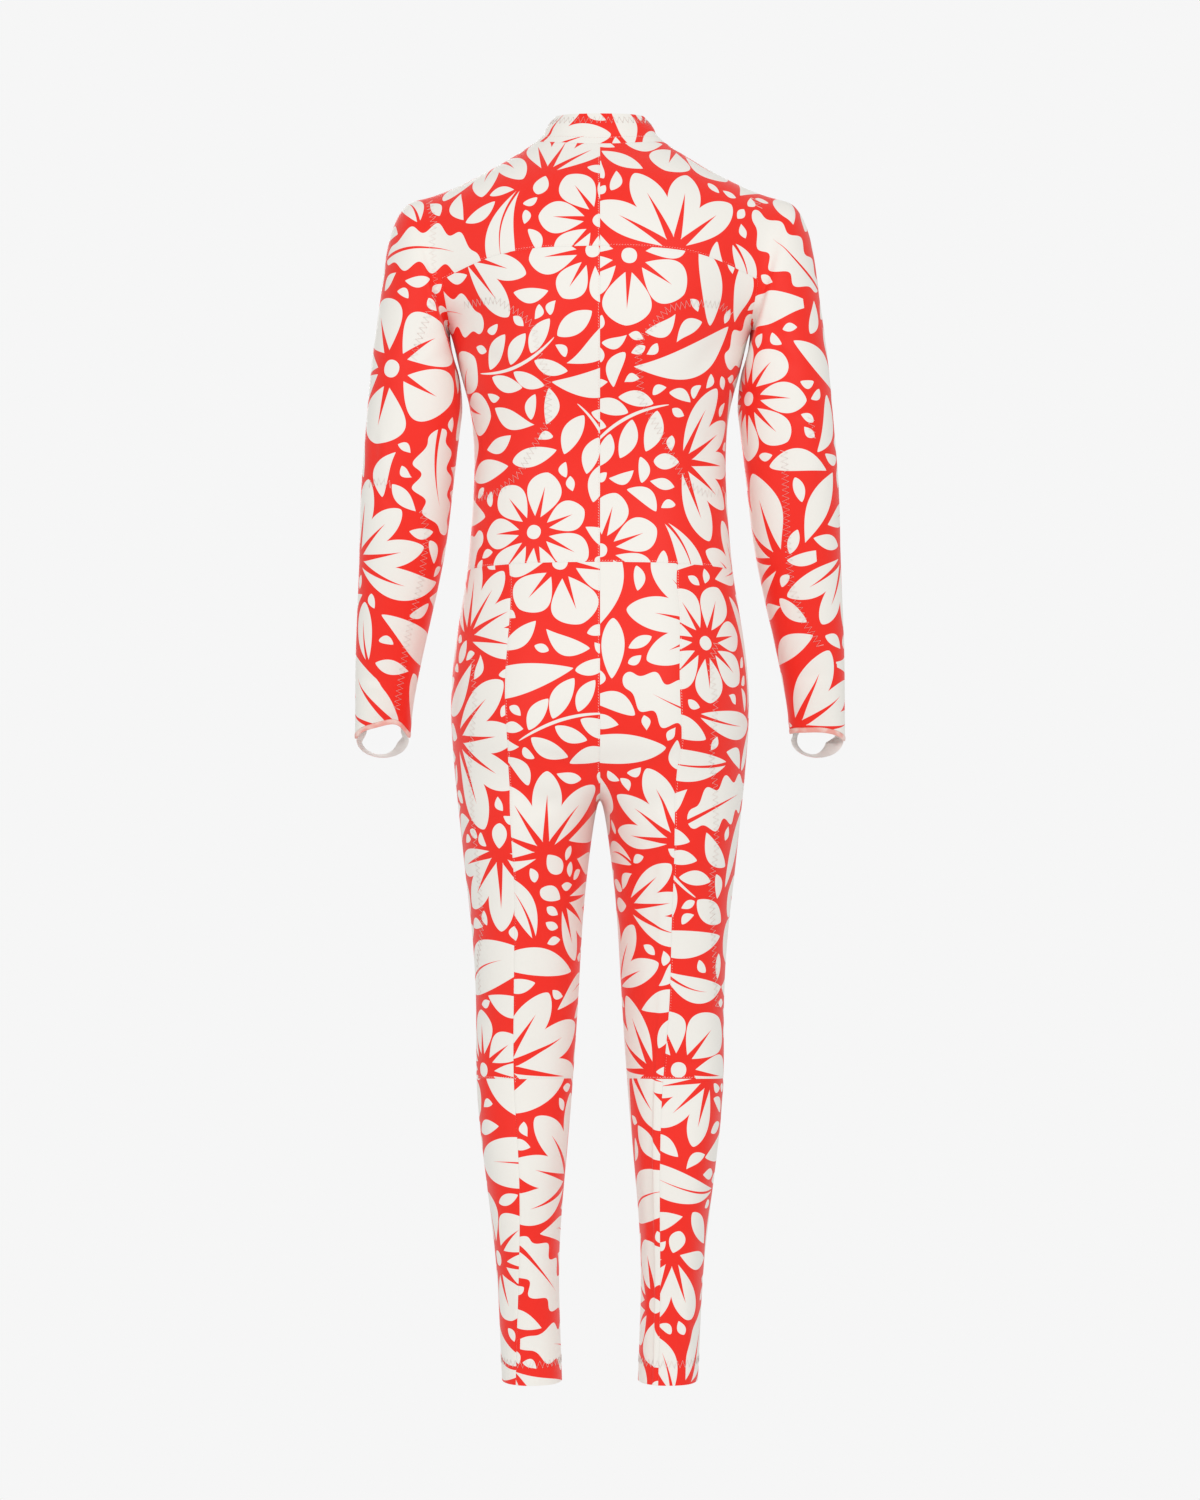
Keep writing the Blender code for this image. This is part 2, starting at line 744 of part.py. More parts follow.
def prism(outline, thickness, hole=()):
    """A flat plate from an outline of (across, down) points, with an optional hole."""
    bm = bmesh.new()
    rings = []
    for z in (-thickness / 2, thickness / 2):
        rings.append([[bm.verts.new((x, y, z)) for x, y in loop] for loop in (outline, hole) if loop])
    for low, high in zip(*rings):
        for n in range(len(low)):
            after = (n + 1) % len(low)
            bm.faces.new([low[n], low[after], high[after], high[n]])
    for level in rings:
        if len(level) == 1:
            bm.faces.new(level[0])
            continue
        edges = [bm.edges.get(pair) for ring in level for pair in edges_of(tuple(ring))]
        bmesh.ops.triangle_fill(bm, edges=edges, use_beauty=True)
    bmesh.ops.recalc_face_normals(bm, faces=bm.faces)
    return bm


def arch_sections():
    """The crown that the pull hangs in: a flat bow standing along the slider."""
    turns = [math.pi * n / CROWN_STEPS for n in range(CROWN_STEPS + 1)]
    foot = SLIDER_TOP - CROWN_SUNK
    rows = []
    for reach, rise in ((CROWN_INNER, CROWN_INNER_RISE), (CROWN_OUTER, CROWN_OUTER_RISE)):
        rows.append([(CROWN_MIDDLE - reach * math.cos(t), foot + rise * math.sin(t)) for t in turns])
    half = CROWN_WIDTH / 2
    inner, outer = rows
    return [
        [Vector((-half, *i)), Vector((half, *i)), Vector((half, *o)), Vector((-half, *o))]
        for i, o in zip(inner, outer)
    ]


def build_slider(frame, finish):
    """The slider's body with its crown standing on it, as one solid."""
    half, reach = SLIDER_WIDTH / 2, SLIDER_LENGTH / 2
    corner = SLIDER_CORNER
    outline = [(half, -reach + corner), (half, reach - corner), (half - corner, reach)]
    outline += [(-half + corner, reach), (-half, reach - corner), (-half, -reach + corner)]
    outline += [(-half + corner, -reach), (half - corner, -reach)]
    body_bm = prism(outline, SLIDER_TOP - SLIDER_BOTTOM)
    bmesh.ops.translate(body_bm, verts=body_bm.verts, vec=(0, 0, (SLIDER_TOP + SLIDER_BOTTOM) / 2))
    body = object_from(body_bm, "zip_slider", finish)
    crown = strip("zip_crown", arch_sections(), finish)
    crown.hide_render = True
    crown.display_type = "WIRE"
    joined = body.modifiers.new("crown", "BOOLEAN")
    joined.operation = "UNION"
    joined.object = crown
    body.matrix_world = crown.matrix_world = frame
    return body


def build_pull(frame, finish):
    """The pull tab: a plate with an eye, whose top bar lies in the crown on the hinge line."""
    half = PULL_WIDTH / 2
    top, end = -PULL_BAR / 2, PULL_LENGTH - half
    outline = [(-half, top), (half, top), (half, end)]
    turns = [math.pi * n / PULL_STEPS for n in range(1, PULL_STEPS)]
    outline += [(half * math.cos(a), end + half * math.sin(a)) for a in turns]
    outline += [(-half, end)]
    eye = [(-EYE_WIDTH / 2, PULL_BAR / 2), (EYE_WIDTH / 2, PULL_BAR / 2)]
    eye += [(EYE_WIDTH / 2, EYE_LENGTH), (-EYE_WIDTH / 2, EYE_LENGTH)]
    pull = object_from(prism(outline, PULL_THICK, eye), "zip_pull", finish)
    hinge = Matrix.Translation((0, HINGE_DOWN, HINGE_OUT))
    pull.matrix_world = frame @ hinge
    return pull


def build_zip(surface, cloth, teeth, metal):
    line, beside = zip_line(surface)
    build_zip_strips(surface, line, beside, cloth, teeth)
    frame = slider_frame(surface, line)
    build_slider(frame, metal)
    build_pull(frame, metal)


def build_hand_loop(side, finish):
    """The strap under one cuff: a hanging loop whose far edge is the shorter of the two."""
    end = SLEEVE_RINGS[-1]
    centre = (end.x_out + end.x_in) / 2
    sections = []
    for step in range(LOOP_STEPS + 1):
        turn = math.pi * step / LOOP_STEPS
        rows = []
        for half, depth, top, drop in (LOOP_NEAR, LOOP_FAR):
            out = Vector((math.cos(turn), 0, -math.sin(turn)))
            place = Vector((centre + half * out.x, depth, top + drop * out.z))
            rows.append((place, out))
        thick = CLOTH / MM
        near, far = rows
        section = [near[0], near[0] - thick * near[1], far[0] - thick * far[1], far[0]]
        sections.append([Vector((side * p.x, p.y, p.z)) * MM for p in section])
    return strip(side_name("hand_loop", side), sections, finish)


def main():
    clear_scene()
    printed = material("printed_cloth", RED, 0.55)
    collar_cloth = material("collar_cloth", OFF_WHITE, 0.6)
    elastic = material("elastic_binding", PALE_PINK, 0.7)
    strap = material("strap_cloth", PALE_PINK, 0.65)
    zip_cloth = material("zip_tape", ZIP_WHITE, 0.8)
    zip_teeth = material("zip_teeth", ZIP_WHITE, 0.4)
    metal = material("zip_metal", METAL, 0.3, 1.0)
    skin = build_cage()
    pieces = list(skin.pieces)
    surface = Surface(smooth_skin(skin, SMOOTHING))
    finishes = {"collar": (COLLAR_CLOTH, collar_cloth)}
    for side in (1, -1):
        finishes[side_name("cuff", side)] = (BINDING_CLOTH, elastic)
    for number, name in enumerate(pieces):
        faces = [f for f, piece in enumerate(surface.piece) if piece == number]
        thickness, finish = finishes.get(name, (CLOTH, printed))
        wall(surface, name, faces, thickness, finish)
    build_zip(surface, zip_cloth, zip_teeth, metal)
    for side in (1, -1):
        build_hand_loop(side, strap)


main()
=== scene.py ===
"""A one-piece ski race suit, shown from behind in a pale studio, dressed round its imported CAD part.

The cloth panels, bindings and straps take the place of the CAD's cloth nodes, on the same smooth skin,
drawn through the same measured sections. The zip keeps the CAD's nodes and gains teeth, a bottom stop and
the end of its tape. The frame is +Z up, with the suit's front towards -Y and its left side at +X, and the
origin at the nape. Section tables are in millimetres.
"""

import math
from functools import partial
from typing import NamedTuple

import bmesh
import bpy
import numpy as np
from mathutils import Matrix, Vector
from mathutils.bvhtree import BVHTree
from mathutils.kdtree import KDTree


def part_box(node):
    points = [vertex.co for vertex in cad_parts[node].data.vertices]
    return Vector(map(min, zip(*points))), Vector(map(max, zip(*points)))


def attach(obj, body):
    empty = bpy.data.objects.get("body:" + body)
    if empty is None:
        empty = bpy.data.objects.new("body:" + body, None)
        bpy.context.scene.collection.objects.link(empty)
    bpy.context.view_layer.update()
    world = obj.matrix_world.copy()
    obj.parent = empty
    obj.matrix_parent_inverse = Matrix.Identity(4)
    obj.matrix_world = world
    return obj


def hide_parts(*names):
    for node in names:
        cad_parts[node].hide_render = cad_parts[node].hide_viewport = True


bl_info = {
    "name": "Ski race suit",
    "version": (1, 0, 0),
    "blender": (4, 5, 0),
    "location": "View3D > Sidebar > Race suit",
    "description": "Dresses a ski race suit's CAD part in cloth, stitching and trimmings",
    "category": "Object",
}

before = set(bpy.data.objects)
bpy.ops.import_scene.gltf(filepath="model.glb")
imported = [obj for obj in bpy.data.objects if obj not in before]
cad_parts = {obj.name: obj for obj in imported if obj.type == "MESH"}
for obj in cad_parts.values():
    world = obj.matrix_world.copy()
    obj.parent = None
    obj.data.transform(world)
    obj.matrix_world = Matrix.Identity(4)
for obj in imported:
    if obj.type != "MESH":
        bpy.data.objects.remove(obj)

MM = 0.001
SUIT = "suit"

# Cloth, in metres
CLOTH = 0.0015
COLLAR_CLOTH = 0.0024
BINDING_CLOTH = 0.0022
SEWN_GAP = 0.00008

# Zip, in metres
ZIP_OPENING = 0.0074
ZIP_BOTTOM = -0.600

COLUMNS = 16
SIDE = COLUMNS // 4
FRONT = COLUMNS // 2
BACK_SEAM = 2
FRONT_SEAM = 6
INSEAM = 10
SLEEVE_COLUMNS = 12
UNDERARM = 6

# Columns round one leg, in degrees from centre back: the inner back, the sides and the inseam's side.
# The back leg seam's own angle comes from its ring, and the two parts beside it are shares of a turn.
INNER_BACK = -36
INNER_BACK_SHARE = 0.52
OUTER_BACK_SHARE = 0.5
LEG_TURNS = (90, 118, 146, 176, 216, 243, 270, 297)

# Columns round the armhole, in degrees from its top, which even out over the sleeve's first rings
ARMHOLE_TURNS = (0, 36, 72, 108, 132, 154, 180, 206, 228, 252, 288, 324)
EVEN_BY_RING = 3

# Where the columns of a yoke row stand between centre and armhole
YOKE_SHARES = (0.0, 0.36, 0.70, 1.0)

# How square the rings are (2 is an ellipse), and how their heights and hollows bend
NECK_ROUND = 2.0
BODY_ROUND = 2.25
LEG_ROUND = 2.1
SLEEVE_ROUND = 2.1
HEIGHT_BEND = 1.5
DIP_REACH = 0.55
DIP_BEND = 1.3

# How the skin is fitted through its points
FITTING_ROUNDS = 12
FITTING_SHARE = 0.9

# How the cloth is divided and finished
FINE = 4
FOLD_FACING = 2.5
ON_LINE = 2e-5
NEARLY_STRAIGHT = 0.2
SHARP = 50

# Columns of the calf's back beside its seam never come nearer to the seam than this, in degrees
LEAST_TURN = 24

# How far the cuffs' edges rise, in millimetres, column by column from the outside by way of the back
CUFF_RISES = {
    1: (0.5, 1.5, 4.0, 7.0, 10.0, 4.0, 1.5, 6.0, 11.5, 9.5, 6.5, 3.0),
    -1: (-2.0, -2.0, -0.5, 0.5, 1.5, 4.0, 5.5, 5.0, 3.0, 2.5, 2.0, 0.0),
}
RISE_SHARES = {"sleeve_low": 0.5, "sleeve_end": 1.0, "binding_end": 1.0}

# The print, in millimetres and square metres
FAR = 400.0
MARGIN = 12.0
SAME_SIDE = -0.3
GAPS = (4.4, 8.2)
FLOWER_ROOM = 28.0
SPRAY_ROOM = 12.0
LEAST_ROOM = 8.5
SPOTS = 12
FLOWER_TRIES = 8
TRIES = 16
MISSES = 50
FLOWER_AREA = 0.022
SPRAY_AREA = 0.011
PETAL_GAP = 4.0
PETAL_RIB = 0.05
RIB_END = 0.7
LEAST_RIB = 0.1
WAVES = 4
WAVE_DEPTH = 0.2
PRINT_SOFTNESS = 0.2
PRINT_SEED = 11

# The printed shapes: sizes as shares of their motif's own, turns in degrees
SEED_SIZE = 0.12
SEED_BLUNT = 0.5
PETAL_REACH = (0.90, 1.06)
PETAL_START = 0.22
FAN_START = 0.05
PETAL_WIDEST = 0.40
PETAL_FILL = 0.66
PETAL_SKEW = 1.4
PETAL_BLUNT = 0.62
CUP_BACK = 0.34
CUP_LENGTH = 0.30
CUP_HALF = 0.10
CUP_SKEW = 0.8
LEAF_BOW = 0.12
LEAF_SKEW = 0.9
SPRIG_BOW = 0.14
SPRIG_STEM = 0.74
SPRIG_STEM_HALF = 1.7
SPRIG_STEM_BLUNT = 0.4
SPRIG_TIP = 0.27
SPRIG_TIP_TURN = -2.6
SPRIG_TIP_SIZE = (0.33, 0.085)
SPRIG_PAIRS = (0.14, 0.42, 0.70)
SPRIG_LEAF_OFF = 4.4
SPRIG_LEAF_TURN = (36, 48)
SPRIG_LEAF_SIZE = (0.27, 0.36)
SPRIG_LEAF_HALF = 0.22
SPRIG_LEAF_BOW = 0.06
SPRIG_LEAF_SKEW = 0.95
BLADE_BOW = 0.20
BLADE_RIB = 2.0
BLADE_SKEW = (0.8, 1.3)
BLADE_BLUNT = (0.6, 0.9)
BLADE_SIZES = ((124, 17), (100, 15), (82, 13.5), (64, 12), (50, 10), (38, 8), (27, 6), (16, 4.6))
BLADE_REACH = 8
BLADE_ROOM = 2
RIBBED_LENGTH = 50
RIBBED_SHARE = 0.4

# The finishes: sheen and bump of the cloth, how its grain compares with its loops, and the patches of
# the elastic (their scale per metre, and the noise between which they fade)
CLOTH_SHEEN = 0.12
KNIT_SPECULAR = 0.3
KNIT_BUMP = (1100, 0.0003)
BUMP_STRENGTH = 0.35
GRAIN_SCALE = 0.12
GRAIN_SHARE = 0.5
MOTTLE_SCALE = 55.0
MOTTLE_RANGE = (0.46, 0.60)

# Stitching, in metres. The collar's stitch lines are shares of its height, the lifts shares of the thread,
# and the slant is how far a stitch turns sideways for its length
SEAM_STITCH_OFF = 0.0016
HEM_STITCH = -1.2925
HEM_DEPTH = 0.004
HEM_REACH = 0.09
COLLAR_DEPTH = -0.012
COLLAR_REACH = 0.14
COLLAR_STITCH = 0.78
COLLAR_TOPSTITCH = 0.2
RING_STEPS = 72
LEAST_RUN = 3
STITCH_LIFT = 0.3
ZIGZAG_LIFT = 0.5
STITCH_SLANT = 0.35
THREAD_SIDES = 5

# The zigzag lines on the back, as sideways and height places seen from the camera, and the step between
# a line's points, in millimetres
LINE_STEP = 6
ZIGZAGS = (
    ((183, -54), (178, -76), (180, -100), (176, -149), (183, -172), (193, -198), (202, -229)),
    ((253, -358), (235, -353), (218, -359)),
    ((191, -383), (185, -409), (192, -461), (205, -515), (210, -545), (219, -604)),
    ((-164, -50), (-169, -56), (-172, -65)),
    ((-226, -285), (-228, -313)),
    ((-197, -320), (-198, -334), (-200, -405), (-205, -466), (-219, -504), (-240, -536)),
    (
        (146, -165), (132, -162), (111, -159), (84, -175), (72, -186), (65, -218),
        (57, -236), (55, -288), (79, -331), (86, -345), (111, -366), (139, -374),
    ),
    (
        (-141, -175), (-130, -165), (-99, -162), (-72, -169), (-43, -202), (-41, -218), (-44, -266),
        (-57, -288), (-65, -302), (-92, -355), (-113, -367), (-127, -366), (-138, -358),
    ),
    (
        (137, -540), (134, -586), (140, -663), (135, -729), (130, -778),
        (128, -802), (126, -828), (131, -869), (128, -909),
    ),
    (
        (-125, -526), (-118, -550), (-124, -593), (-119, -657), (-123, -674),
        (-125, -748), (-119, -783), (-122, -852), (-124, -900), (-126, -923),
    ),
)

# Zip teeth, in metres, and where the rays that find the cloth's front start from
ZIP_STEP = 0.0026
BESIDE_ZIP = 1e-4
BEFORE_FRONT = -0.4

# Bottom stop and tape end of the zip, in metres. STOP_ENDS are shares of its height from the chain's end
STOP_HEIGHT = 0.0042
STOP_ENDS = (0.15, -0.85)
STOP_HALF = 0.0028
STOP_DEPTHS = (-0.0007, 0.0014)
STOP_BEVEL = 0.0005
STOP_BEVEL_STEPS = 3
TAPE_END_ABOVE = 0.007
TAPE_END_STEP = 0.004
TAPE_END_STEPS = 7
TAPE_END_HALF = 0.0085
TAPE_END_DEPTHS = (0.0028, 0.0034)

# The hand loops: steps along and across the strap, how far its sewn ends reach up, how square its edges
# are and how soon below them it hangs unevenly, and by how much (the far edge's shift towards the
# outside, how much narrower it is and how much nearer), in millimetres
STRAP_STEPS = 48
STRAP_SPAN = 9
STRAP_ENDS = 4
STRAP_END_STEP = 4.0
STRAP_END_SUNK = 1.8
STRAP_SAG = 0.5
STRAP_EDGE = 6
STRAP_TAKES_HANG = 3
STRAP_HANG = {1: (4.5, 0.0, 0.0), -1: (-5.5, 4.0, 5.0)}

# The studio, in metres, but for the camera's sensor and lens in millimetres
EYE = (0.0, 3.5, -0.6413)
SENSOR = 36.0
LENS = 78.4
SIGHT = 100.0
FLOOR_RADIUS = 1.2
FLOOR_HEIGHT = -1.75
FLOOR_SIDES = 128


class Cut(NamedTuple):
    """A panel's flat cut before it is stretched over the wearer: the box round it and its area."""

    width: float
    length: float
    area: float


class Lamp(NamedTuple):
    """A soft lamp that faces the suit: its place, its sides and its power in watts."""

    name: str
    place: tuple
    width: float
    height: float
    power: float


LAMPS = (
    Lamp("key", (-1.6, 3.6, 0.9), 2.0, 2.0, 36.0),
    Lamp("fill", (2.0, 3.4, 0.2), 2.0, 2.4, 26.0),
    Lamp("front", (0.5, -3.6, 0.6), 2.4, 2.4, 46.0),
)


class NeckRing(NamedTuple):
    """A ring round the neck: half width, how far it reaches back and front, and its heights."""

    name: str
    half: float
    back: float
    front: float
    z_back: float
    z_side: float
    z_front: float


class YokeRow(NamedTuple):
    """A row between the armholes: its heights and depths at centre back and centre front, the angle
    round the armhole where it ends, and how late its height and its depth bend towards that end."""

    name: str
    z_back: float
    back: float
    z_front: float
    front: float
    armhole: float
    bend: float
    round: float


class BodyRing(NamedTuple):
    """A ring round the trunk. back_dip and front_dip are how far its middle lies behind its fullest
    parts, and seam_left and seam_right are how far out the back leg seams lie."""

    name: str
    z_back: float
    z_side: float
    half: float
    back: float
    front: float
    back_dip: float
    front_dip: float
    seam_left: float
    seam_right: float


class LegRing(NamedTuple):
    """A ring round one leg. centre is its middle's distance from the suit's middle."""

    name: str
    z_back: float
    z_side: float
    centre: float
    half: float
    back: float
    front: float
    seam_left: float
    seam_right: float


class SleeveRing(NamedTuple):
    """A ring round the sleeve, from its outermost point to its innermost point."""

    name: str
    x_out: float
    z_out: float
    x_in: float
    z_in: float
    depth: float
    middle: float
    lift: float


class Fold(NamedTuple):
    """A soft trough in the cloth: its middle, which face it is on (1 back, -1 front), the way it runs
    in degrees, how far it reaches along and across, and how deep it is."""

    name: str
    x: float
    z: float
    face: int
    turn: float
    along: float
    across: float
    depth: float


NECK_RINGS = (
    NeckRing("collar_top", 47.5, 36, 60, 33.8, 36.0, 2.0),
    NeckRing("collar_middle", 58.5, 42, 65, 17.0, 22.0, -19.0),
    NeckRing("neckline", 69.5, 48, 72, 0.0, 8.5, -40.0),
    NeckRing("neck_base", 126.0, 68, 90, -23.0, -26.5, -65.0),
)

YOKE_ROWS = (
    YokeRow("shoulder", -49.0, 86, -92.0, 103, 36, 1.6, 2.1),
    YokeRow("upper_yoke", -82.0, 101, -118.0, 110, 72, 2.2, 2.1),
    YokeRow("yoke_seam", -117.8, 110, -146.0, 115, 108, 3.3, 2.15),
    YokeRow("blade", -160.0, 114, -176.0, 118, 132, 2.4, 2.4),
    YokeRow("armpit", -203.0, 112.5, -207.0, 119, 154, 2.0, 2.75),
)

BODY_RINGS = (
    BodyRing("ribs", -240.0, -236.0, 150.0, 107, 115, 2, 0, 0, 0),
    BodyRing("lower_ribs", -283.0, -280.0, 138.6, 97, 109, 4, 0, 0, 0),
    BodyRing("waist", -334.0, -332.0, 134.6, 88, 101, 4, 0, 0, 0),
    BodyRing("high_hip", -392.0, -391.0, 136.8, 88, 98, 3, 0, 0, 0),
    BodyRing("waist_seam", -445.0, -450.0, 142.2, 96, 98, 2, 0, 95.7, 82.0),
    BodyRing("hip_1", -489.0, -491.0, 148.6, 108, 99, 3, 0, 93.8, 82.5),
    BodyRing("hip_2", -535.5, -536.5, 155.6, 120, 99, 4, 0, 97.0, 83.0),
    BodyRing("hip_3", -587.0, -588.0, 159.4, 127, 98, 7, 2, 99.0, 83.4),
    BodyRing("hip_4", -634.0, -636.0, 157.8, 123, 98, 12, 10, 96.5, 84.8),
    BodyRing("crotch", -664.0, -681.0, 154.0, 112, 100, 18, 26, 95.5, 80.0),
)

# Where the seam under the crotch runs, back to front: depth and height
CROTCH_BACK = (56.0, -689.0)
CROTCH = (2.0, -696.0)
CROTCH_FRONT = (-46.0, -688.0)

LEG_RINGS = (
    LegRing("thigh_1", -729.0, -730.0, 78.4, 70.4, 92, 87, 93.0, 77.9),
    LegRing("thigh_2", -778.0, -779.5, 78.9, 64.6, 82, 82, 90.2, 77.0),
    LegRing("thigh_3", -834.0, -835.5, 78.2, 59.0, 71, 76, 90.3, 75.0),
    LegRing("thigh_4", -909.0, -911.0, 78.2, 54.7, 61, 69, 91.0, 73.1),
    LegRing("knee_seam", -988.5, -992.5, 80.6, 51.7, 53, 61, 91.1, 66.7),
    LegRing("calf_1", -1058.0, -1060.0, 80.6, 46.3, 57, 53, 86.9, 63.6),
    LegRing("calf_2", -1124.0, -1125.0, 79.5, 39.4, 56, 43, 84.8, 63.0),
    LegRing("calf_3", -1190.0, -1190.0, 77.6, 33.9, 47, 35, 85.9, 63.6),
    LegRing("calf_4", -1254.0, -1254.0, 75.2, 32.4, 41, 31, 88.1, 63.1),
    LegRing("hem", -1315.0, -1315.5, 72.8, 32.2, 40, 31, 89.6, 61.5),
)

ARMHOLE = SleeveRing("armhole", 180.9, -49.2, 159.5, -195.9, 55, 0, 0)

SLEEVE_RINGS = (
    SleeveRing("cap", 208.5, -60.0, 158.6, -214.0, 57, 0, 0),
    SleeveRing("upper_arm_1", 225.6, -97.0, 152.3, -235.0, 56, 1, 0),
    SleeveRing("upper_arm_2", 234.6, -156.0, 148.6, -256.0, 54, 2, 0),
    SleeveRing("upper_arm_3", 243.8, -226.0, 147.4, -277.0, 52, 4, 0),
    SleeveRing("elbow", 250.3, -296.0, 150.2, -302.0, 50, 4, 0),
    SleeveRing("forearm_1", 256.0, -366.0, 158.0, -366.0, 47, -1, 0),
    SleeveRing("forearm_2", 258.8, -440.0, 168.6, -440.0, 43, -11, 0),
    SleeveRing("forearm_3", 263.2, -525.0, 188.0, -525.0, 36, -25, 0),
    SleeveRing("wrist", 264.8, -588.0, 201.2, -588.0, 30, -35, 0),
    SleeveRing("sleeve_low", 265.2, -613.0, 204.0, -613.0, 27.2, -38.5, 4.5),
    SleeveRing("sleeve_end", 265.4, -624.0, 205.2, -624.0, 26, -40, 6.5),
    SleeveRing("binding_end", 265.4, -629.5, 205.8, -629.5, 25, -41, 6.5),
)

FOLDS = (
    Fold("armpit_back_left", 118.0, -232.0, 1, 42, 34, 15, 4.5),
    Fold("armpit_back_right", -120.0, -226.0, 1, 134, 30, 14, 4.0),
    Fold("armpit_front_left", 124.0, -226.0, -1, 48, 30, 15, 4.5),
    Fold("armpit_front_right", -122.0, -234.0, -1, 130, 34, 14, 4.0),
    Fold("seat_left", 62.0, -694.0, 1, 24, 36, 12, 4.0),
    Fold("seat_right", -58.0, -700.0, 1, 160, 30, 12, 3.0),
    Fold("groin_left", 66.0, -668.0, -1, 40, 40, 13, 4.0),
    Fold("groin_right", -68.0, -664.0, -1, 138, 36, 13, 4.5),
)

# Smaller creases in the same form, with ridges as negative depths: the back as seen, the front likewise
CREASES = (
    Fold("arm_left_1", 187.0, -215.0, 1, 140, 26, 7, 1.4),
    Fold("arm_left_2", 178.0, -232.0, 1, 150, 22, 6, 1.1),
    Fold("arm_left_3", 239.0, -323.0, 1, 92, 18, 5, 1.2),
    Fold("arm_left_ridge", 230.0, -322.0, 1, 86, 16, 5, -0.7),
    Fold("arm_left_4", 228.0, -373.0, 1, 42, 22, 6, 1.1),
    Fold("wrist_left", 245.0, -566.0, 1, 12, 15, 4, 1.3),
    Fold("wrist_left_ridge", 243.0, -574.0, 1, 8, 13, 4, -0.7),
    Fold("back_left_1", 67.0, -215.0, 1, 70, 16, 4, 1.0),
    Fold("back_left_2", 112.0, -330.0, 1, 62, 30, 8, 1.1),
    Fold("back_right_1", -118.0, -312.0, 1, 112, 28, 8, 1.0),
    Fold("arm_right_1", -184.0, -197.0, 1, 44, 14, 5, 1.5),
    Fold("arm_right_2", -193.0, -229.0, 1, 32, 22, 7, 1.3),
    Fold("arm_right_3", -221.0, -284.0, 1, 158, 14, 5, 1.2),
    Fold("arm_right_4", -158.0, -264.0, 1, 24, 18, 5, 1.1),
    Fold("arm_right_5", -236.0, -350.0, 1, 108, 24, 6, 0.9),
    Fold("wrist_right", -226.0, -562.0, 1, 168, 15, 5, 1.1),
    Fold("crotch_left_1", 21.0, -660.0, 1, 26, 22, 7, 2.2),
    Fold("crotch_left_ridge", 26.0, -676.0, 1, 24, 18, 6, -1.1),
    Fold("crotch_left_2", 52.0, -649.0, 1, 30, 24, 7, 1.4),
    Fold("crotch_left_3", 60.0, -701.0, 1, 152, 28, 8, 1.4),
    Fold("crotch_right", -74.0, -648.0, 1, 148, 22, 8, 1.2),
    Fold("thigh_left", 96.0, -812.0, 1, 84, 50, 9, 0.8),
    Fold("thigh_right", -66.0, -868.0, 1, 98, 44, 9, 0.8),
    Fold("knee_left", 62.0, -962.0, 1, 20, 24, 7, 1.0),
    Fold("knee_right", -92.0, -972.0, 1, 164, 26, 7, 1.0),
    Fold("calf_left", 96.0, -1237.0, 1, 95, 32, 6, 1.1),
    Fold("calf_left_low", 70.0, -1284.0, 1, 100, 22, 6, 0.8),
    Fold("calf_right", -82.0, -1236.0, 1, 86, 46, 6, 1.4),
    Fold("calf_right_ridge", -91.0, -1240.0, 1, 84, 40, 5, -0.8),
    Fold("calf_right_low", -100.0, -1257.0, 1, 72, 26, 6, 1.1),
    Fold("chest_left", 88.0, -262.0, -1, 128, 30, 8, 1.1),
    Fold("chest_right", -84.0, -256.0, -1, 56, 28, 8, 1.0),
    Fold("elbow_left_1", 214.0, -300.0, -1, 20, 24, 6, 1.5),
    Fold("elbow_left_2", 208.0, -330.0, -1, 164, 22, 6, 1.1),
    Fold("elbow_right_1", -212.0, -306.0, -1, 162, 24, 6, 1.4),
    Fold("elbow_right_2", -210.0, -338.0, -1, 14, 22, 6, 1.2),
    Fold("wrist_front_left", 238.0, -574.0, -1, 168, 14, 5, 1.1),
    Fold("wrist_front_right", -240.0, -568.0, -1, 12, 14, 5, 1.0),
    Fold("waist_left", 70.0, -452.0, -1, 12, 40, 9, 1.2),
    Fold("waist_right", -66.0, -460.0, -1, 170, 38, 9, 1.2),
    Fold("groin_low_left", 48.0, -700.0, -1, 34, 28, 8, 1.4),
    Fold("groin_low_right", -50.0, -704.0, -1, 144, 28, 8, 1.3),
    Fold("knee_front_left", 84.0, -1010.0, -1, 12, 26, 8, 1.2),
    Fold("knee_front_right", -80.0, -1004.0, -1, 170, 26, 8, 1.1),
    Fold("shin_left", 88.0, -1232.0, -1, 94, 34, 7, 1.0),
    Fold("shin_right", -80.0, -1240.0, -1, 88, 36, 7, 1.0),
)

# The hand loop's two edges: half width, depth, height of its sewn ends, and how far it hangs
LOOP_NEAR = (29.2, -41.0, -630.0, 20.5)
LOOP_FAR = (21.2, -59.0, -626.6, 20.5)


def rounded(angle, power):
    """Sine and cosine of a superellipse, in degrees. A power of 2 is an ellipse."""
    s = math.sin(math.radians(angle))
    c = math.cos(math.radians(angle))
    return math.copysign(abs(s) ** (2 / power), s), math.copysign(abs(c) ** (2 / power), c)


def blend(a, b, share):
    return a + (b - a) * share


def neck_points(ring):
    """All columns of a ring round the neck, from centre back by way of the left side."""
    points = []
    for column in range(COLUMNS):
        s, c = rounded(360 * column / COLUMNS, NECK_ROUND)
        depth = ring.back if c > 0 else ring.front
        end = ring.z_back if c > 0 else ring.z_front
        points.append((ring.half * s, depth * c, blend(ring.z_side, end, c * c)))
    return points


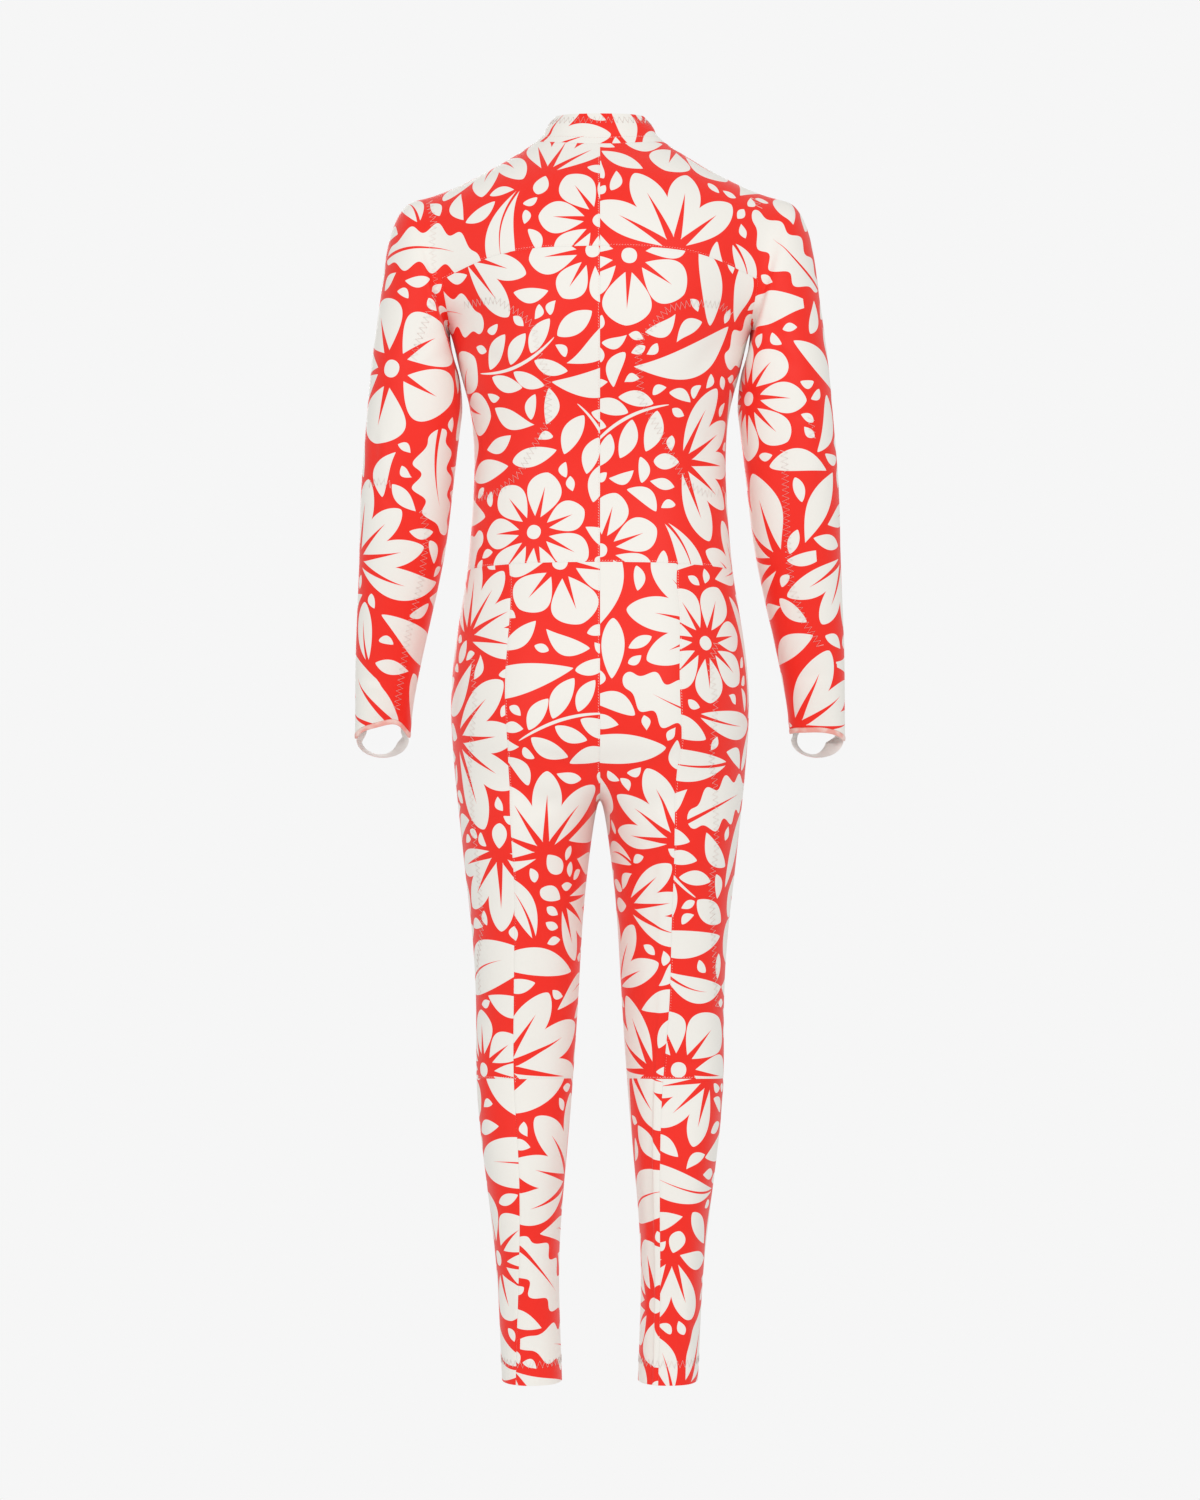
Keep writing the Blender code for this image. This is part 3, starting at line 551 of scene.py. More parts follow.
def armhole_point(angle):
    """A point of the left armhole, measured from the shoulder's top towards the back."""
    s, c = math.sin(math.radians(angle)), math.cos(math.radians(angle))
    share = (1 - c) / 2
    x = blend(ARMHOLE.x_out, ARMHOLE.x_in, share)
    return (x, ARMHOLE.depth * s, blend(ARMHOLE.z_out, ARMHOLE.z_in, share))


def yoke_points(row):
    """The columns of a row between the armholes. The armhole's own side is left out."""
    points = {}
    for first, depth, height, angle in (
        (0, row.back, row.z_back, row.armhole),
        (FRONT, -row.front, row.z_front, -row.armhole),
    ):
        end = armhole_point(angle)
        step = 1 if first == 0 else -1
        for n, share in enumerate(YOKE_SHARES):
            x = end[0] * share
            y = blend(depth, end[1], share**row.round)
            z = blend(height, end[2], share**row.bend)
            points[first + n * step] = (x, y, z)
            points[(COLUMNS - first - n * step) % COLUMNS] = (-x, y, z)
    return points


def seam_angle(distance, half, power):
    """The angle on a superellipse where its sideways distance is the one given."""
    share = min(0.98, max(-0.98, distance / half))
    return math.degrees(math.asin(math.copysign(abs(share) ** (power / 2), share)))


def body_points(ring):
    """All columns of a ring round the trunk, with the back leg seams at their own distances."""
    points = []
    for column in range(COLUMNS):
        angle = 360 * column / COLUMNS
        seam = ring.seam_left if column < FRONT else ring.seam_right
        from_back = min(column, COLUMNS - column)
        if seam and from_back < SIDE:
            at_seam = seam_angle(seam, ring.half, BODY_ROUND)
            if from_back <= BACK_SEAM:
                turned = at_seam * from_back / BACK_SEAM
            else:
                turned = blend(at_seam, 90, (from_back - BACK_SEAM) / (SIDE - BACK_SEAM))
            angle = turned if column < FRONT else -turned
        s, c = rounded(angle, BODY_ROUND)
        depth, dip = (ring.back, ring.back_dip) if c > 0 else (ring.front, ring.front_dip)
        hollow = dip * max(0.0, 1 - abs(s) / DIP_REACH) ** DIP_BEND
        y = (depth - hollow) * c
        points.append((ring.half * s, y, blend(ring.z_side, ring.z_back, abs(c) ** HEIGHT_BEND)))
    return points


def leg_points(ring, side):
    """The columns of a ring round one leg, from the one under centre back, outwards and round."""
    seam = ring.seam_left if side > 0 else ring.seam_right
    at_seam = seam_angle(seam - ring.centre, ring.half, LEG_ROUND)
    first = min(INNER_BACK, at_seam - LEAST_TURN)
    inner_back = blend(first, at_seam, INNER_BACK_SHARE)
    outer_back = blend(at_seam, LEG_TURNS[0], OUTER_BACK_SHARE)
    points = []
    for angle in (first, inner_back, at_seam, outer_back, *LEG_TURNS):
        s, c = rounded(angle, LEG_ROUND)
        depth = ring.back if c > 0 else ring.front
        height = blend(ring.z_side, ring.z_back, abs(c))
        points.append((side * (ring.centre + ring.half * s), depth * c, height))
    return points


def sleeve_points(ring, number, side):
    """The columns of a ring round one sleeve, from its outermost point by way of the back."""
    even = min(1.0, number / EVEN_BY_RING)
    points = []
    for column in range(SLEEVE_COLUMNS):
        angle = blend(ARMHOLE_TURNS[column], 360 * column / SLEEVE_COLUMNS, even)
        s, c = rounded(angle, SLEEVE_ROUND)
        share = (1 - c) / 2
        x = blend(ring.x_out, ring.x_in, share)
        z = blend(ring.z_out, ring.z_in, share) + ring.lift * abs(s) ** HEIGHT_BEND
        z += RISE_SHARES.get(ring.name, 0.0) * CUFF_RISES[side][column]
        points.append((side * x, ring.middle + ring.depth * s, z))
    return points


def side_name(name, side):
    return f"{name}_{'left' if side > 0 else 'right'}"


class Skin:
    """The low cage whose smoothed surface is the outside of the suit."""

    def __init__(self):
        self.bm = bmesh.new()
        self.slit = self.bm.edges.layers.int.new("slit")
        self.pieces = []
        self.targets = []

    def point(self, place):
        vert = self.bm.verts.new(Vector(place) * MM)
        self.targets.append(Vector(place) * MM)
        return vert

    def face(self, corners, piece):
        if piece not in self.pieces:
            self.pieces.append(piece)
        made = self.bm.faces.new(corners)
        made.material_index = self.pieces.index(piece)

    def band(self, upper, lower, piece_of):
        """Faces between two rows. A row is a list, or a dict that leaves out some columns."""
        count = COLUMNS if isinstance(upper, dict) else len(upper)
        for column in range(count):
            after = (column + 1) % count
            corners = [row[at] for row, at in ((upper, column), (upper, after)) if at in keys(row)]
            corners += [row[at] for row, at in ((lower, after), (lower, column)) if at in keys(row)]
            if len(corners) == 4:
                self.face(corners, piece_of(column))

    def cut(self, row_a, row_b, column):
        """Marks the edge down one column as a slit in its piece."""
        edge = self.bm.edges.get((row_a[column], row_b[column]))
        edge[self.slit] = 1


def keys(row):
    return row if isinstance(row, dict) else range(len(row))


def trunk_piece(name):
    """Which cut piece each column of a trunk band belongs to, by the row under the band."""
    above_yoke_seam = ("neck_base", "shoulder", "upper_yoke", "yoke_seam")
    below = [ring.name for ring in BODY_RINGS]
    hips = below[below.index("waist_seam") + 1 :]

    def piece(column):
        side = 1 if column < FRONT else -1
        from_back = column if side > 0 else COLUMNS - 1 - column
        if name in hips:
            part = "seat" if from_back < BACK_SEAM else "side" if from_back < FRONT_SEAM else "thigh"
            return side_name(part, side)
        if name in above_yoke_seam:
            return side_name("sleeve" if from_back <= SIDE else "front", side)
        return side_name("back" if from_back < SIDE else "front", side)

    return piece


def leg_piece(name, side):
    """Which cut piece each column of a leg band belongs to, by the row under the band."""
    calf = name.startswith("calf") or name == "hem"

    def piece(column):
        if column < BACK_SEAM or column >= INSEAM:
            part = "calf_back" if calf else "seat"
        elif column < FRONT_SEAM:
            part = "calf_side" if calf else "side"
        else:
            part = "calf_front" if calf else "thigh"
        return side_name(part, side)

    return piece


def build_cage():
    skin = Skin()
    rows = [[skin.point(p) for p in neck_points(ring)] for ring in NECK_RINGS]
    for upper, lower, ring in zip(rows, rows[1:], NECK_RINGS[1:]):
        if ring.name == "neck_base":
            skin.band(upper, lower, trunk_piece(ring.name))
        else:
            skin.band(upper, lower, lambda column: "collar")
            skin.cut(upper, lower, FRONT)
    above = dict(enumerate(rows[-1]))

    armholes = {1: {}, -1: {}}
    for number, row in enumerate(YOKE_ROWS):
        made = {column: skin.point(p) for column, p in yoke_points(row).items()}
        for side, first in ((1, SIDE), (-1, COLUMNS - SIDE)):
            if number == 0 or number == len(YOKE_ROWS) - 1:
                x, y, z = armhole_point(0 if number == 0 else 180)
                made[first] = skin.point((side * x, y, z))
            armholes[side][number] = (made, first)
        skin.band(above, made, trunk_piece(row.name))
        above = made

    for ring in BODY_RINGS:
        made = dict(enumerate(skin.point(p) for p in body_points(ring)))
        skin.band(above, made, trunk_piece(ring.name))
        above = made

    under = [skin.point((0, *place)) for place in (CROTCH_FRONT, CROTCH, CROTCH_BACK)]
    for side in (1, -1):
        build_leg(skin, side, above, under)
        build_sleeve(skin, side, armholes[side])
    return skin


def build_leg(skin, side, crotch_ring, under):
    order = range(FRONT + 1) if side > 0 else [-n % COLUMNS for n in range(FRONT + 1)]
    above = [crotch_ring[column] for column in order] + under
    for ring in LEG_RINGS:
        made = [skin.point(p) for p in leg_points(ring, side)]
        skin.band(above, made, leg_piece(ring.name, side))
        above = made


def build_sleeve(skin, side, armhole):
    last = len(YOKE_ROWS) - 1
    down = [armhole[number][0] for number in range(last + 1)]
    middle = armhole[0][1]
    above = [down[0][middle]] + [row[middle - side] for row in down]
    above += [down[last][middle]] + [row[middle + side] for row in reversed(down)]
    for number, ring in enumerate(SLEEVE_RINGS, 1):
        made = [skin.point(p) for p in sleeve_points(ring, number, side)]
        name = "cuff" if ring.name == "binding_end" else "sleeve"
        skin.band(above, made, lambda column: side_name(name, side))
        if name == "sleeve":
            skin.cut(above, made, UNDERARM)
        above = made


def smooth_skin(skin, levels):
    """The cage's smoothed surface, drawn out until it passes through every measured point."""
    bmesh.ops.recalc_face_normals(skin.bm, faces=skin.bm.faces)
    mesh = bpy.data.meshes.new("suit_cage")
    skin.bm.to_mesh(mesh)
    holder = bpy.data.objects.new("suit_cage", mesh)
    bpy.context.scene.collection.objects.link(holder)
    subdivision = holder.modifiers.new("smooth", "SUBSURF")
    subdivision.levels = subdivision.render_levels = 1
    for _ in range(FITTING_ROUNDS):
        graph = bpy.context.evaluated_depsgraph_get()
        fitted = holder.evaluated_get(graph).to_mesh()
        for number, target in enumerate(skin.targets):
            mesh.vertices[number].co += FITTING_SHARE * (target - fitted.vertices[number].co)
        holder.evaluated_get(graph).to_mesh_clear()
        mesh.update()
    subdivision.levels = subdivision.render_levels = levels
    graph = bpy.context.evaluated_depsgraph_get()
    fine = bpy.data.meshes.new_from_object(holder.evaluated_get(graph))
    bpy.data.objects.remove(holder)
    return fine


def vectors(items, what):
    """A Blender collection's vector values as an array of rows."""
    found = np.empty(len(items) * 3, np.float32)
    items.foreach_get(what, found)
    return found.reshape(-1, 3).astype(float)


def coarse_flags(fine, coarse):
    """Which of the fine skin's points are also points of the skin one level coarser."""
    tree = KDTree(len(fine.vertices))
    for vert in fine.vertices:
        tree.insert(vert.co, vert.index)
    tree.balance()
    flags = np.zeros(len(fine.vertices), bool)
    flags[[tree.find(vert.co)[1] for vert in coarse.vertices]] = True
    return flags


class Cloth:
    """The smoothed skin, pressed by its folds and split along every seam and slit, as arrays."""

    def __init__(self, fine, coarse):
        rearmost = max(fine.vertices, key=lambda v: v.co.y)
        if rearmost.normal.y < 0:
            fine.flip_normals()
        on_coarse = coarse_flags(fine, coarse)
        points, normals = vectors(fine.vertices, "co"), vectors(fine.vertices, "normal")
        points -= (fold_depths(points, normals) * MM)[:, None] * normals
        fine.vertices.foreach_set("co", points.ravel())
        fine.update()
        normals = vectors(fine.vertices, "normal")
        self.whole = BVHTree.FromPolygons(points.tolist(), [p.vertices[:] for p in fine.polygons])
        bm = bmesh.new()
        bm.from_mesh(fine)
        number = bm.verts.layers.int.new("number")
        for place, vert in enumerate(bm.verts):
            vert[number] = place
        slit = bm.edges.layers.int["slit"]
        seams = []
        for edge in bm.edges:
            sides = edge.link_faces
            if len(sides) == 2 and (edge[slit] or sides[0].material_index != sides[1].material_index):
                seams.append(edge)
        bmesh.ops.split_edges(bm, edges=seams)
        bm.verts.index_update()
        source = np.array([vert[number] for vert in bm.verts])
        self.faces = np.array([[vert.index for vert in face.verts] for face in bm.faces])
        self.piece = np.array([face.material_index for face in bm.faces])
        bm.free()
        self.source = source
        self.points, self.normals = points[source], normals[source]
        self.coarse = on_coarse[source]
        self.shared = np.bincount(source)[source] > 1


def unit(rows):
    return rows / np.maximum(np.linalg.norm(rows, axis=-1, keepdims=True), 1e-12)


def fold_depths(points, normals):
    """How far the folds press each point of the skin inwards, in millimetres."""
    total = np.zeros(len(points))
    x, z = points[:, 0] / MM, points[:, 2] / MM
    for fold in FOLDS + CREASES:
        facing = np.clip(FOLD_FACING * normals[:, 1] * fold.face, 0, 1)
        c, s = math.cos(math.radians(fold.turn)), math.sin(math.radians(fold.turn))
        right, up = x - fold.x, z - fold.z
        along, across = (right * c + up * s) / fold.along, (up * c - right * s) / fold.across
        total += facing * fold.depth * np.exp(-(along**2) - across**2)
    return total


class Panel:
    """One cut piece of the cloth: its outer points and quads, its coarser quads and its edge."""

    def __init__(self, cloth, number):
        faces = cloth.faces[cloth.piece == number]
        used, local = np.unique(faces, return_inverse=True)
        self.quads = local.reshape(-1, 4)
        self.points, self.normals = cloth.points[used], cloth.normals[used]
        self.source = cloth.source[used]
        coarse = cloth.coarse[used]
        turn = coarse[self.quads].argmax(1)
        rows = np.arange(len(self.quads))
        corner, ahead, middle, behind = (self.quads[rows, (turn + n) % 4] for n in range(4))
        following = {(m, b): row for row, (m, b) in enumerate(zip(middle.tolist(), behind.tolist()))}
        self.coarse_quads = []
        for first in np.unique(middle, return_index=True)[1].tolist():
            row, loop = first, []
            for _ in range(4):
                loop.append(int(corner[row]))
                row = following[(int(middle[row]), int(ahead[row]))]
            self.coarse_quads.append(loop)
        starts = self.quads.ravel()
        ends = np.roll(self.quads, -1, axis=1).ravel()
        directed = set(zip(starts.tolist(), ends.tolist()))
        self.rim = [(a, b) for a, b in directed if (b, a) not in directed]
        self.rim_quads = []
        after = {a: b for a, b in self.rim}
        for a, b in self.rim:
            if coarse[a]:
                self.rim_quads.append((a, b, after[b]))
        self.shared = cloth.shared[used]

    def draw_back(self, groove):
        """Moves the seam edges into the piece by half the gap, and down into the seam's groove."""
        pulls = {}
        for a, b in self.rim:
            if not (self.shared[a] and self.shared[b]):
                continue
            pa, pb = self.points[a], self.points[b]
            normal = self.normals[a] + self.normals[b]
            inward = np.cross(normal, pb - pa)
            inward /= np.linalg.norm(inward)
            on_zip = max(abs(pa[0]), abs(pb[0])) < ON_LINE and max(pa[1], pb[1]) < 0
            on_zip = on_zip and min(pa[2], pb[2]) > ZIP_BOTTOM - ON_LINE
            gap = ZIP_OPENING / 2 if on_zip else SEWN_GAP / 2
            for end in (a, b):
                pulls.setdefault(end, []).append((inward, gap))
        for end, found in pulls.items():
            rows = np.array([inward for inward, _ in found])
            gaps = np.array([gap for _, gap in found])
            self.points[end] += np.linalg.lstsq(rows, gaps, rcond=NEARLY_STRAIGHT)[0]
            if max(gaps) < ZIP_OPENING / 4:
                self.points[end] -= groove * self.normals[end]

    def build(self, name, thickness, outside, inside):
        """The panel as a mesh object: outer face, coarser inner face and the edge between them."""
        count = len(self.points)
        below, number = {}, count
        for quad in self.coarse_quads:
            for vert in quad:
                if vert not in below:
                    below[vert] = number
                    number += 1
        inner = np.array(list(below), int)
        places = np.concatenate([self.points, self.points[inner] - thickness * self.normals[inner]])
        faces = self.quads.tolist()
        outer_count = len(faces)
        faces += [[below[v] for v in reversed(quad)] for quad in self.coarse_quads]
        faces += [[c, b, a, below[a], below[c]] for a, b, c in self.rim_quads]
        mesh = bpy.data.meshes.new(name)
        mesh.from_pydata(places.tolist(), [], faces)
        kinds = np.zeros(len(faces), np.int32)
        kinds[outer_count:] = 1
        mesh.materials.append(outside)
        mesh.materials.append(inside)
        mesh.polygons.foreach_set("material_index", kinds)
        mesh.shade_smooth()
        mesh.set_sharp_from_angle(angle=math.radians(SHARP))
        obj = bpy.data.objects.new(name, mesh)
        bpy.context.scene.collection.objects.link(obj)
        self.inner = inner
        return obj


class Leaf(NamedTuple):
    """One printed shape: the place of its base, the way it points in radians, its length and half
    width, how far it bows, the half width of its rib, where it is widest (1 is the middle, more is
    nearer its tip), how blunt it is (less is blunter), and whether its edge is wavy."""

    x: float
    y: float
    turn: float
    length: float
    half: float
    bow: float = 0.0
    rib: float = 0.0
    skew: float = 1.0
    power: float = 0.75
    wavy: int = 0


def leaf_places(leaf, x, y):
    """Places along and across a leaf, from places on the cloth. knit_print() repeats this in nodes."""
    c, s = math.cos(leaf.turn), math.sin(leaf.turn)
    return (x - leaf.x) * c + (y - leaf.y) * s, (y - leaf.y) * c - (x - leaf.x) * s


def leaf_value(leaf, x, y):
    """Above zero inside the leaf and below zero outside it, in millimetres from its edge."""
    along = np.clip(x / leaf.length, 0, 1)
    off = abs(y - 4 * leaf.bow * along * (1 - along))
    wave = 1 + leaf.wavy * WAVE_DEPTH * (np.cos(2 * np.pi * WAVES * along) - 1)
    width = leaf.half * wave * np.maximum(np.sin(np.pi * along**leaf.skew), 0) ** leaf.power
    return width - off - abs(x - along * leaf.length)


def flower(size, petals, spread, chance):
    """Broad petals round a seed disc, or one seen from the side when the spread is small."""
    step = math.radians(spread) / petals
    whole = spread == 360
    middle = 0.0 if whole else -size / 2
    first = chance.uniform(0, step)
    leaves = []
    if whole:
        seed = size * SEED_SIZE
        leaves.append(Leaf(-seed, 0, 0, 2 * seed, seed, power=SEED_BLUNT))
    for number in range(petals):
        turn = first + step * number if whole else step * (number - (petals - 1) / 2)
        reach = size * chance.uniform(*PETAL_REACH)
        start = size * (PETAL_START if whole else FAN_START)
        half = min(PETAL_WIDEST * size, PETAL_FILL * reach * math.tan(step / 2) - PETAL_GAP / 2)
        foot = (middle + start * math.cos(turn), start * math.sin(turn))
        leaves.append(Leaf(*foot, turn, reach - start, half, 0, size * PETAL_RIB, PETAL_SKEW, PETAL_BLUNT))
    if not whole:
        cup = (CUP_LENGTH * size, CUP_HALF * size)
        leaves.append(Leaf(middle - CUP_BACK * size, 0, 0, *cup, skew=CUP_SKEW))
    return leaves


def sprig(length, chance):
    """A thin stem with leaves in pairs and one at its tip."""
    bow = chance.uniform(-SPRIG_BOW, SPRIG_BOW) * length
    stem = length * SPRIG_STEM
    leaves = [Leaf(-length / 2, 0, 0, stem, SPRIG_STEM_HALF, bow, power=SPRIG_STEM_BLUNT)]
    tip = [length * share for share in SPRIG_TIP_SIZE]
    leaves.append(Leaf(length * SPRIG_TIP, 0, SPRIG_TIP_TURN * bow / length, *tip, skew=SPRIG_LEAF_SKEW))
    for along in SPRIG_PAIRS:
        x, y = -length / 2 + along * stem, 4 * bow * along * (1 - along)
        for side in (1, -1):
            turn = side * math.radians(chance.uniform(*SPRIG_LEAF_TURN))
            span = length * chance.uniform(*SPRIG_LEAF_SIZE)
            place = (x, y + side * SPRIG_LEAF_OFF, turn, span, span * SPRIG_LEAF_HALF)
            leaves.append(Leaf(*place, side * span * SPRIG_LEAF_BOW, skew=SPRIG_LEAF_SKEW))
    return leaves


def large_leaf(length, half, rib, power, wavy, chance):
    """One long leaf with a rib, and with a wavy edge if asked for."""
    bow = chance.uniform(-LEAF_BOW, LEAF_BOW) * length
    return [Leaf(-length / 2, 0, 0, length, half, bow, rib, LEAF_SKEW, power, wavy)]


def blade(length, half, chance):
    """One plain leaf of any size. Some of the longer ones have a rib."""
    bow = chance.uniform(-BLADE_BOW, BLADE_BOW) * length
    rib = BLADE_RIB if length > RIBBED_LENGTH and chance.random() < RIBBED_SHARE else 0.0
    skew, power = chance.uniform(*BLADE_SKEW), chance.uniform(*BLADE_BLUNT)
    return [Leaf(-length / 2, -bow / 2, 0, length, half, bow, rib, skew, power)]


class Kind(NamedTuple):
    """A kind of motif: how far it reaches, the room that its middle needs, and how it is drawn."""

    reach: float
    room: float
    draw: object


FLOWERS = (
    Kind(88, 24, partial(flower, 80, 5, 360)),
    Kind(78, 24, partial(flower, 70, 6, 360)),
    Kind(88, 24, partial(flower, 100, 4, 140)),
    Kind(72, 24, partial(flower, 64, 7, 360)),
    Kind(78, 24, partial(flower, 88, 5, 170)),
)
SPRAYS = (
    Kind(78, 6, partial(sprig, 132)),
    Kind(74, 24, partial(large_leaf, 124, 27, 2.6, 0.7, 0)),
    Kind(70, 20, partial(large_leaf, 116, 27, 2.4, 0.5, 1)),
    Kind(66, 14, partial(flower, 82, 3, 100)),
)
BLADES = tuple(
    Kind(length / 2 + BLADE_REACH, half + BLADE_ROOM, partial(blade, length, half))
    for length, half in BLADE_SIZES
)


class Printer:
    """Lays motifs in the free places of one panel, and says which two lie nearest each face."""

    def __init__(self, panel, seed):
        self.chance = np.random.default_rng(seed)
        self.points = panel.points / MM
        self.normals = panel.normals
        self.quads = panel.quads
        self.test = panel.inner
        self.space = np.full(len(self.test), -FAR)
        self.best = np.full((2, len(self.quads)), -FAR)
        self.place = np.zeros((2, len(self.quads), 4, 4), np.float32)
        self.shape = np.zeros((2, len(self.quads), 4, 4), np.float32)
        self.place[:, :, :, 2] = 1.0
        self.place[:, :, :, 1] = FAR

    def near(self, anchor, rows, reach):
        """The rows within reach of a point, with their places on the cloth laid flat round it."""
        away = self.points[rows] - self.points[anchor]
        far = np.einsum("ij,ij->i", away, away)
        close = np.nonzero((far < reach**2) & (self.normals[rows] @ self.normals[anchor] > SAME_SIDE))[0]
        away, far = away[close], np.sqrt(far[close])
        normal = self.normals[anchor]
        across = unit(np.cross((0.0, 0.0, 1.0), normal))
        x, y = away @ across, away @ np.cross(normal, across)
        stretch = far / np.maximum(np.hypot(x, y), 1e-6)
        return close, x * stretch, y * stretch

    def spot(self, depth, others=()):
        """A free place at least that far from what is printed, or None."""
        free = np.nonzero(self.space < -depth)[0]
        if not len(free):
            return None
        found = self.chance.choice(free, min(len(free), SPOTS))
        gaps = self.space[found].copy()
        if len(others):
            places = self.points[self.test[found]]
            gaps = -np.min([np.linalg.norm(places - self.points[o], axis=1) for o in others], axis=0)
        return int(self.test[found[int(np.argmin(gaps))]])

    def lay(self, anchor, kinds, tries):
        """Lays the largest kind of motif that fits there. Says whether one did."""
        close, x, y = self.near(anchor, self.test, kinds[0].reach + MARGIN)
        space = self.space[close]
        far = np.hypot(x, y)
        depth = -space[np.argmin(far)]
        for reach, least, draw in kinds:
            if depth < least:
                continue
            rows = far < reach + MARGIN
            xs, ys, room = x[rows], y[rows], space[rows]
            gap = self.chance.uniform(*GAPS)
            turns = self.chance.uniform(0, 2 * np.pi, tries)[:, None]
            tx, ty = xs * np.cos(turns) + ys * np.sin(turns), ys * np.cos(turns) - xs * np.sin(turns)
            leaves = draw(self.chance)
            value = np.max([leaf_value(leaf, *leaf_places(leaf, tx, ty)) for leaf in leaves], axis=0)
            touch = (value + room).max(axis=1)
            touch[touch > -gap] = -2 * FAR
            best = int(np.argmax(touch))
            if touch[best] > -2 * FAR:
                spots = close[rows]
                self.space[spots] = np.maximum(self.space[spots], value[best])
                self.stamp(anchor, reach + MARGIN, float(turns[best, 0]), leaves)
                return True
        return False

    def stamp(self, anchor, reach, turn, leaves):
        """Gives the faces near a motif the places that its leaves are drawn from."""
        rows, x, y = self.near(anchor, slice(None), reach)
        local = np.full(len(self.points), -1)
        local[rows] = np.arange(len(rows))
        corners = local[self.quads]
        faces = np.nonzero((corners >= 0).all(axis=1))[0]
        corners = corners[faces]
        tx, ty = x * math.cos(turn) + y * math.sin(turn), y * math.cos(turn) - x * math.sin(turn)
        for leaf in leaves:
            px, py = leaf_places(leaf, tx, ty)
            value = leaf_value(leaf, px[corners].mean(axis=1), py[corners].mean(axis=1))
            nearest = value > self.best[0, faces]
            second = ~nearest & (value > self.best[1, faces])
            moved = faces[nearest]
            self.best[1, moved] = self.best[0, moved]
            self.place[1, moved], self.shape[1, moved] = self.place[0, moved], self.shape[0, moved]
            for rank, chosen in ((0, nearest), (1, second)):
                here, ends = faces[chosen], corners[chosen]
                self.best[rank, here] = value[chosen]
                self.place[rank, here, :, 0], self.place[rank, here, :, 1] = px[ends], py[ends]
                self.place[rank, here, :, 2:] = leaf.length, leaf.half
                self.shape[rank, here] = leaf.bow, leaf.rib, leaf.skew, leaf.power + leaf.wavy

    def run(self, area):
        """Lays flowers, then sprays, and then plain leaves until hardly any more fits."""
        middles = []
        for _ in range(max(1, round(area / FLOWER_AREA))):
            anchor = self.spot(FLOWER_ROOM, middles)
            if anchor is not None:
                kind = FLOWERS[int(self.chance.integers(len(FLOWERS)))]
                if self.lay(anchor, [kind], FLOWER_TRIES):
                    middles.append(anchor)
        for _ in range(round(area / SPRAY_AREA)):
            anchor = self.spot(SPRAY_ROOM)
            if anchor is None:
                break
            self.lay(anchor, [SPRAYS[int(self.chance.integers(len(SPRAYS)))]], TRIES)
        misses = 0
        while misses < MISSES:
            anchor = self.spot(LEAST_ROOM)
            if anchor is None:
                break
            misses = 0 if self.lay(anchor, BLADES, TRIES) else misses + 1


def printed(obj, panel, seed):
    """Gives the panel's outer face what knit_print() draws its two nearest leaves from."""
    printer = Printer(panel, seed)
    printer.run(panel_area(panel))
    loops = len(obj.data.loops)
    for rank in range(2):
        for name, rows in (("place", printer.place[rank]), ("shape", printer.shape[rank])):
            values = np.zeros((loops, 4), np.float32)
            values[: len(panel.quads) * 4] = rows.reshape(-1, 4)
            layer = obj.data.attributes.new(f"leaf_{name}_{rank}", "FLOAT_COLOR", "CORNER")
            layer.data.foreach_set("color", values.ravel())


class Nodes:
    """A node tree, with short ways to add nodes and to fill their inputs."""

    def __init__(self, tree):
        self.tree = tree

    def fill(self, socket, value):
        """Links another node's output into an input, or sets the input's own value."""
        if isinstance(value, bpy.types.NodeSocket):
            self.tree.links.new(value, socket)
        else:
            socket.default_value = value

    def add(self, kind, inputs=(), **settings):
        """A new node with its settings, and with its inputs filled by name or number."""
        node = self.tree.nodes.new(kind)
        for name, value in settings.items():
            setattr(node, name, value)
        for name, value in dict(inputs).items():
            self.fill(node.inputs[name], value)
        return node

    def math(self, operation, *values, clamp=False):
        return self.add("ShaderNodeMath", enumerate(values), operation=operation, use_clamp=clamp).outputs[0]

    def vector(self, operation, *values):
        return self.add("ShaderNodeVectorMath", enumerate(values), operation=operation).outputs[0]

    def scaled(self, vector, scale):
        return self.add("ShaderNodeVectorMath", {0: vector, "Scale": scale}, operation="SCALE").outputs[0]

    def mix(self, factor, first, second):
        """A colour between two others."""
        inputs = {"Factor": factor, "A": (*first, 1.0), "B": (*second, 1.0)}
        return self.add("ShaderNodeMix", inputs, data_type="RGBA").outputs["Result"]

    def bump(self, shader, scale, depth, stretch=(1, 1, 1)):
        """Gives a shader the knit's relief: scale per metre, depth in metres and stretch."""
        place = self.add("ShaderNodeTexCoord").outputs["Object"]
        mapping = self.add("ShaderNodeMapping", {"Vector": place, "Scale": stretch})
        group = bpy.data.node_groups.get("cloth_relief") or cloth_relief()
        relief = self.add("ShaderNodeGroup", node_tree=group)
        self.fill(relief.inputs["Vector"], mapping.outputs["Vector"])
        self.fill(relief.inputs["Scale"], scale)
        height = {"Height": relief.outputs["Height"], "Strength": BUMP_STRENGTH, "Distance": depth}
        self.fill(shader.inputs["Normal"], self.add("ShaderNodeBump", height).outputs["Normal"])


def group_of(name, inputs, output):
    """A shader node group with its inputs' kinds by name and one number as its output."""
    work = Nodes(bpy.data.node_groups.new(name, "ShaderNodeTree"))
    for socket, kind in inputs.items():
        work.tree.interface.new_socket(socket, in_out="INPUT", socket_type=f"NodeSocket{kind}")
    work.tree.interface.new_socket(output, in_out="OUTPUT", socket_type="NodeSocketFloat")
    return work, work.add("NodeGroupInput").outputs


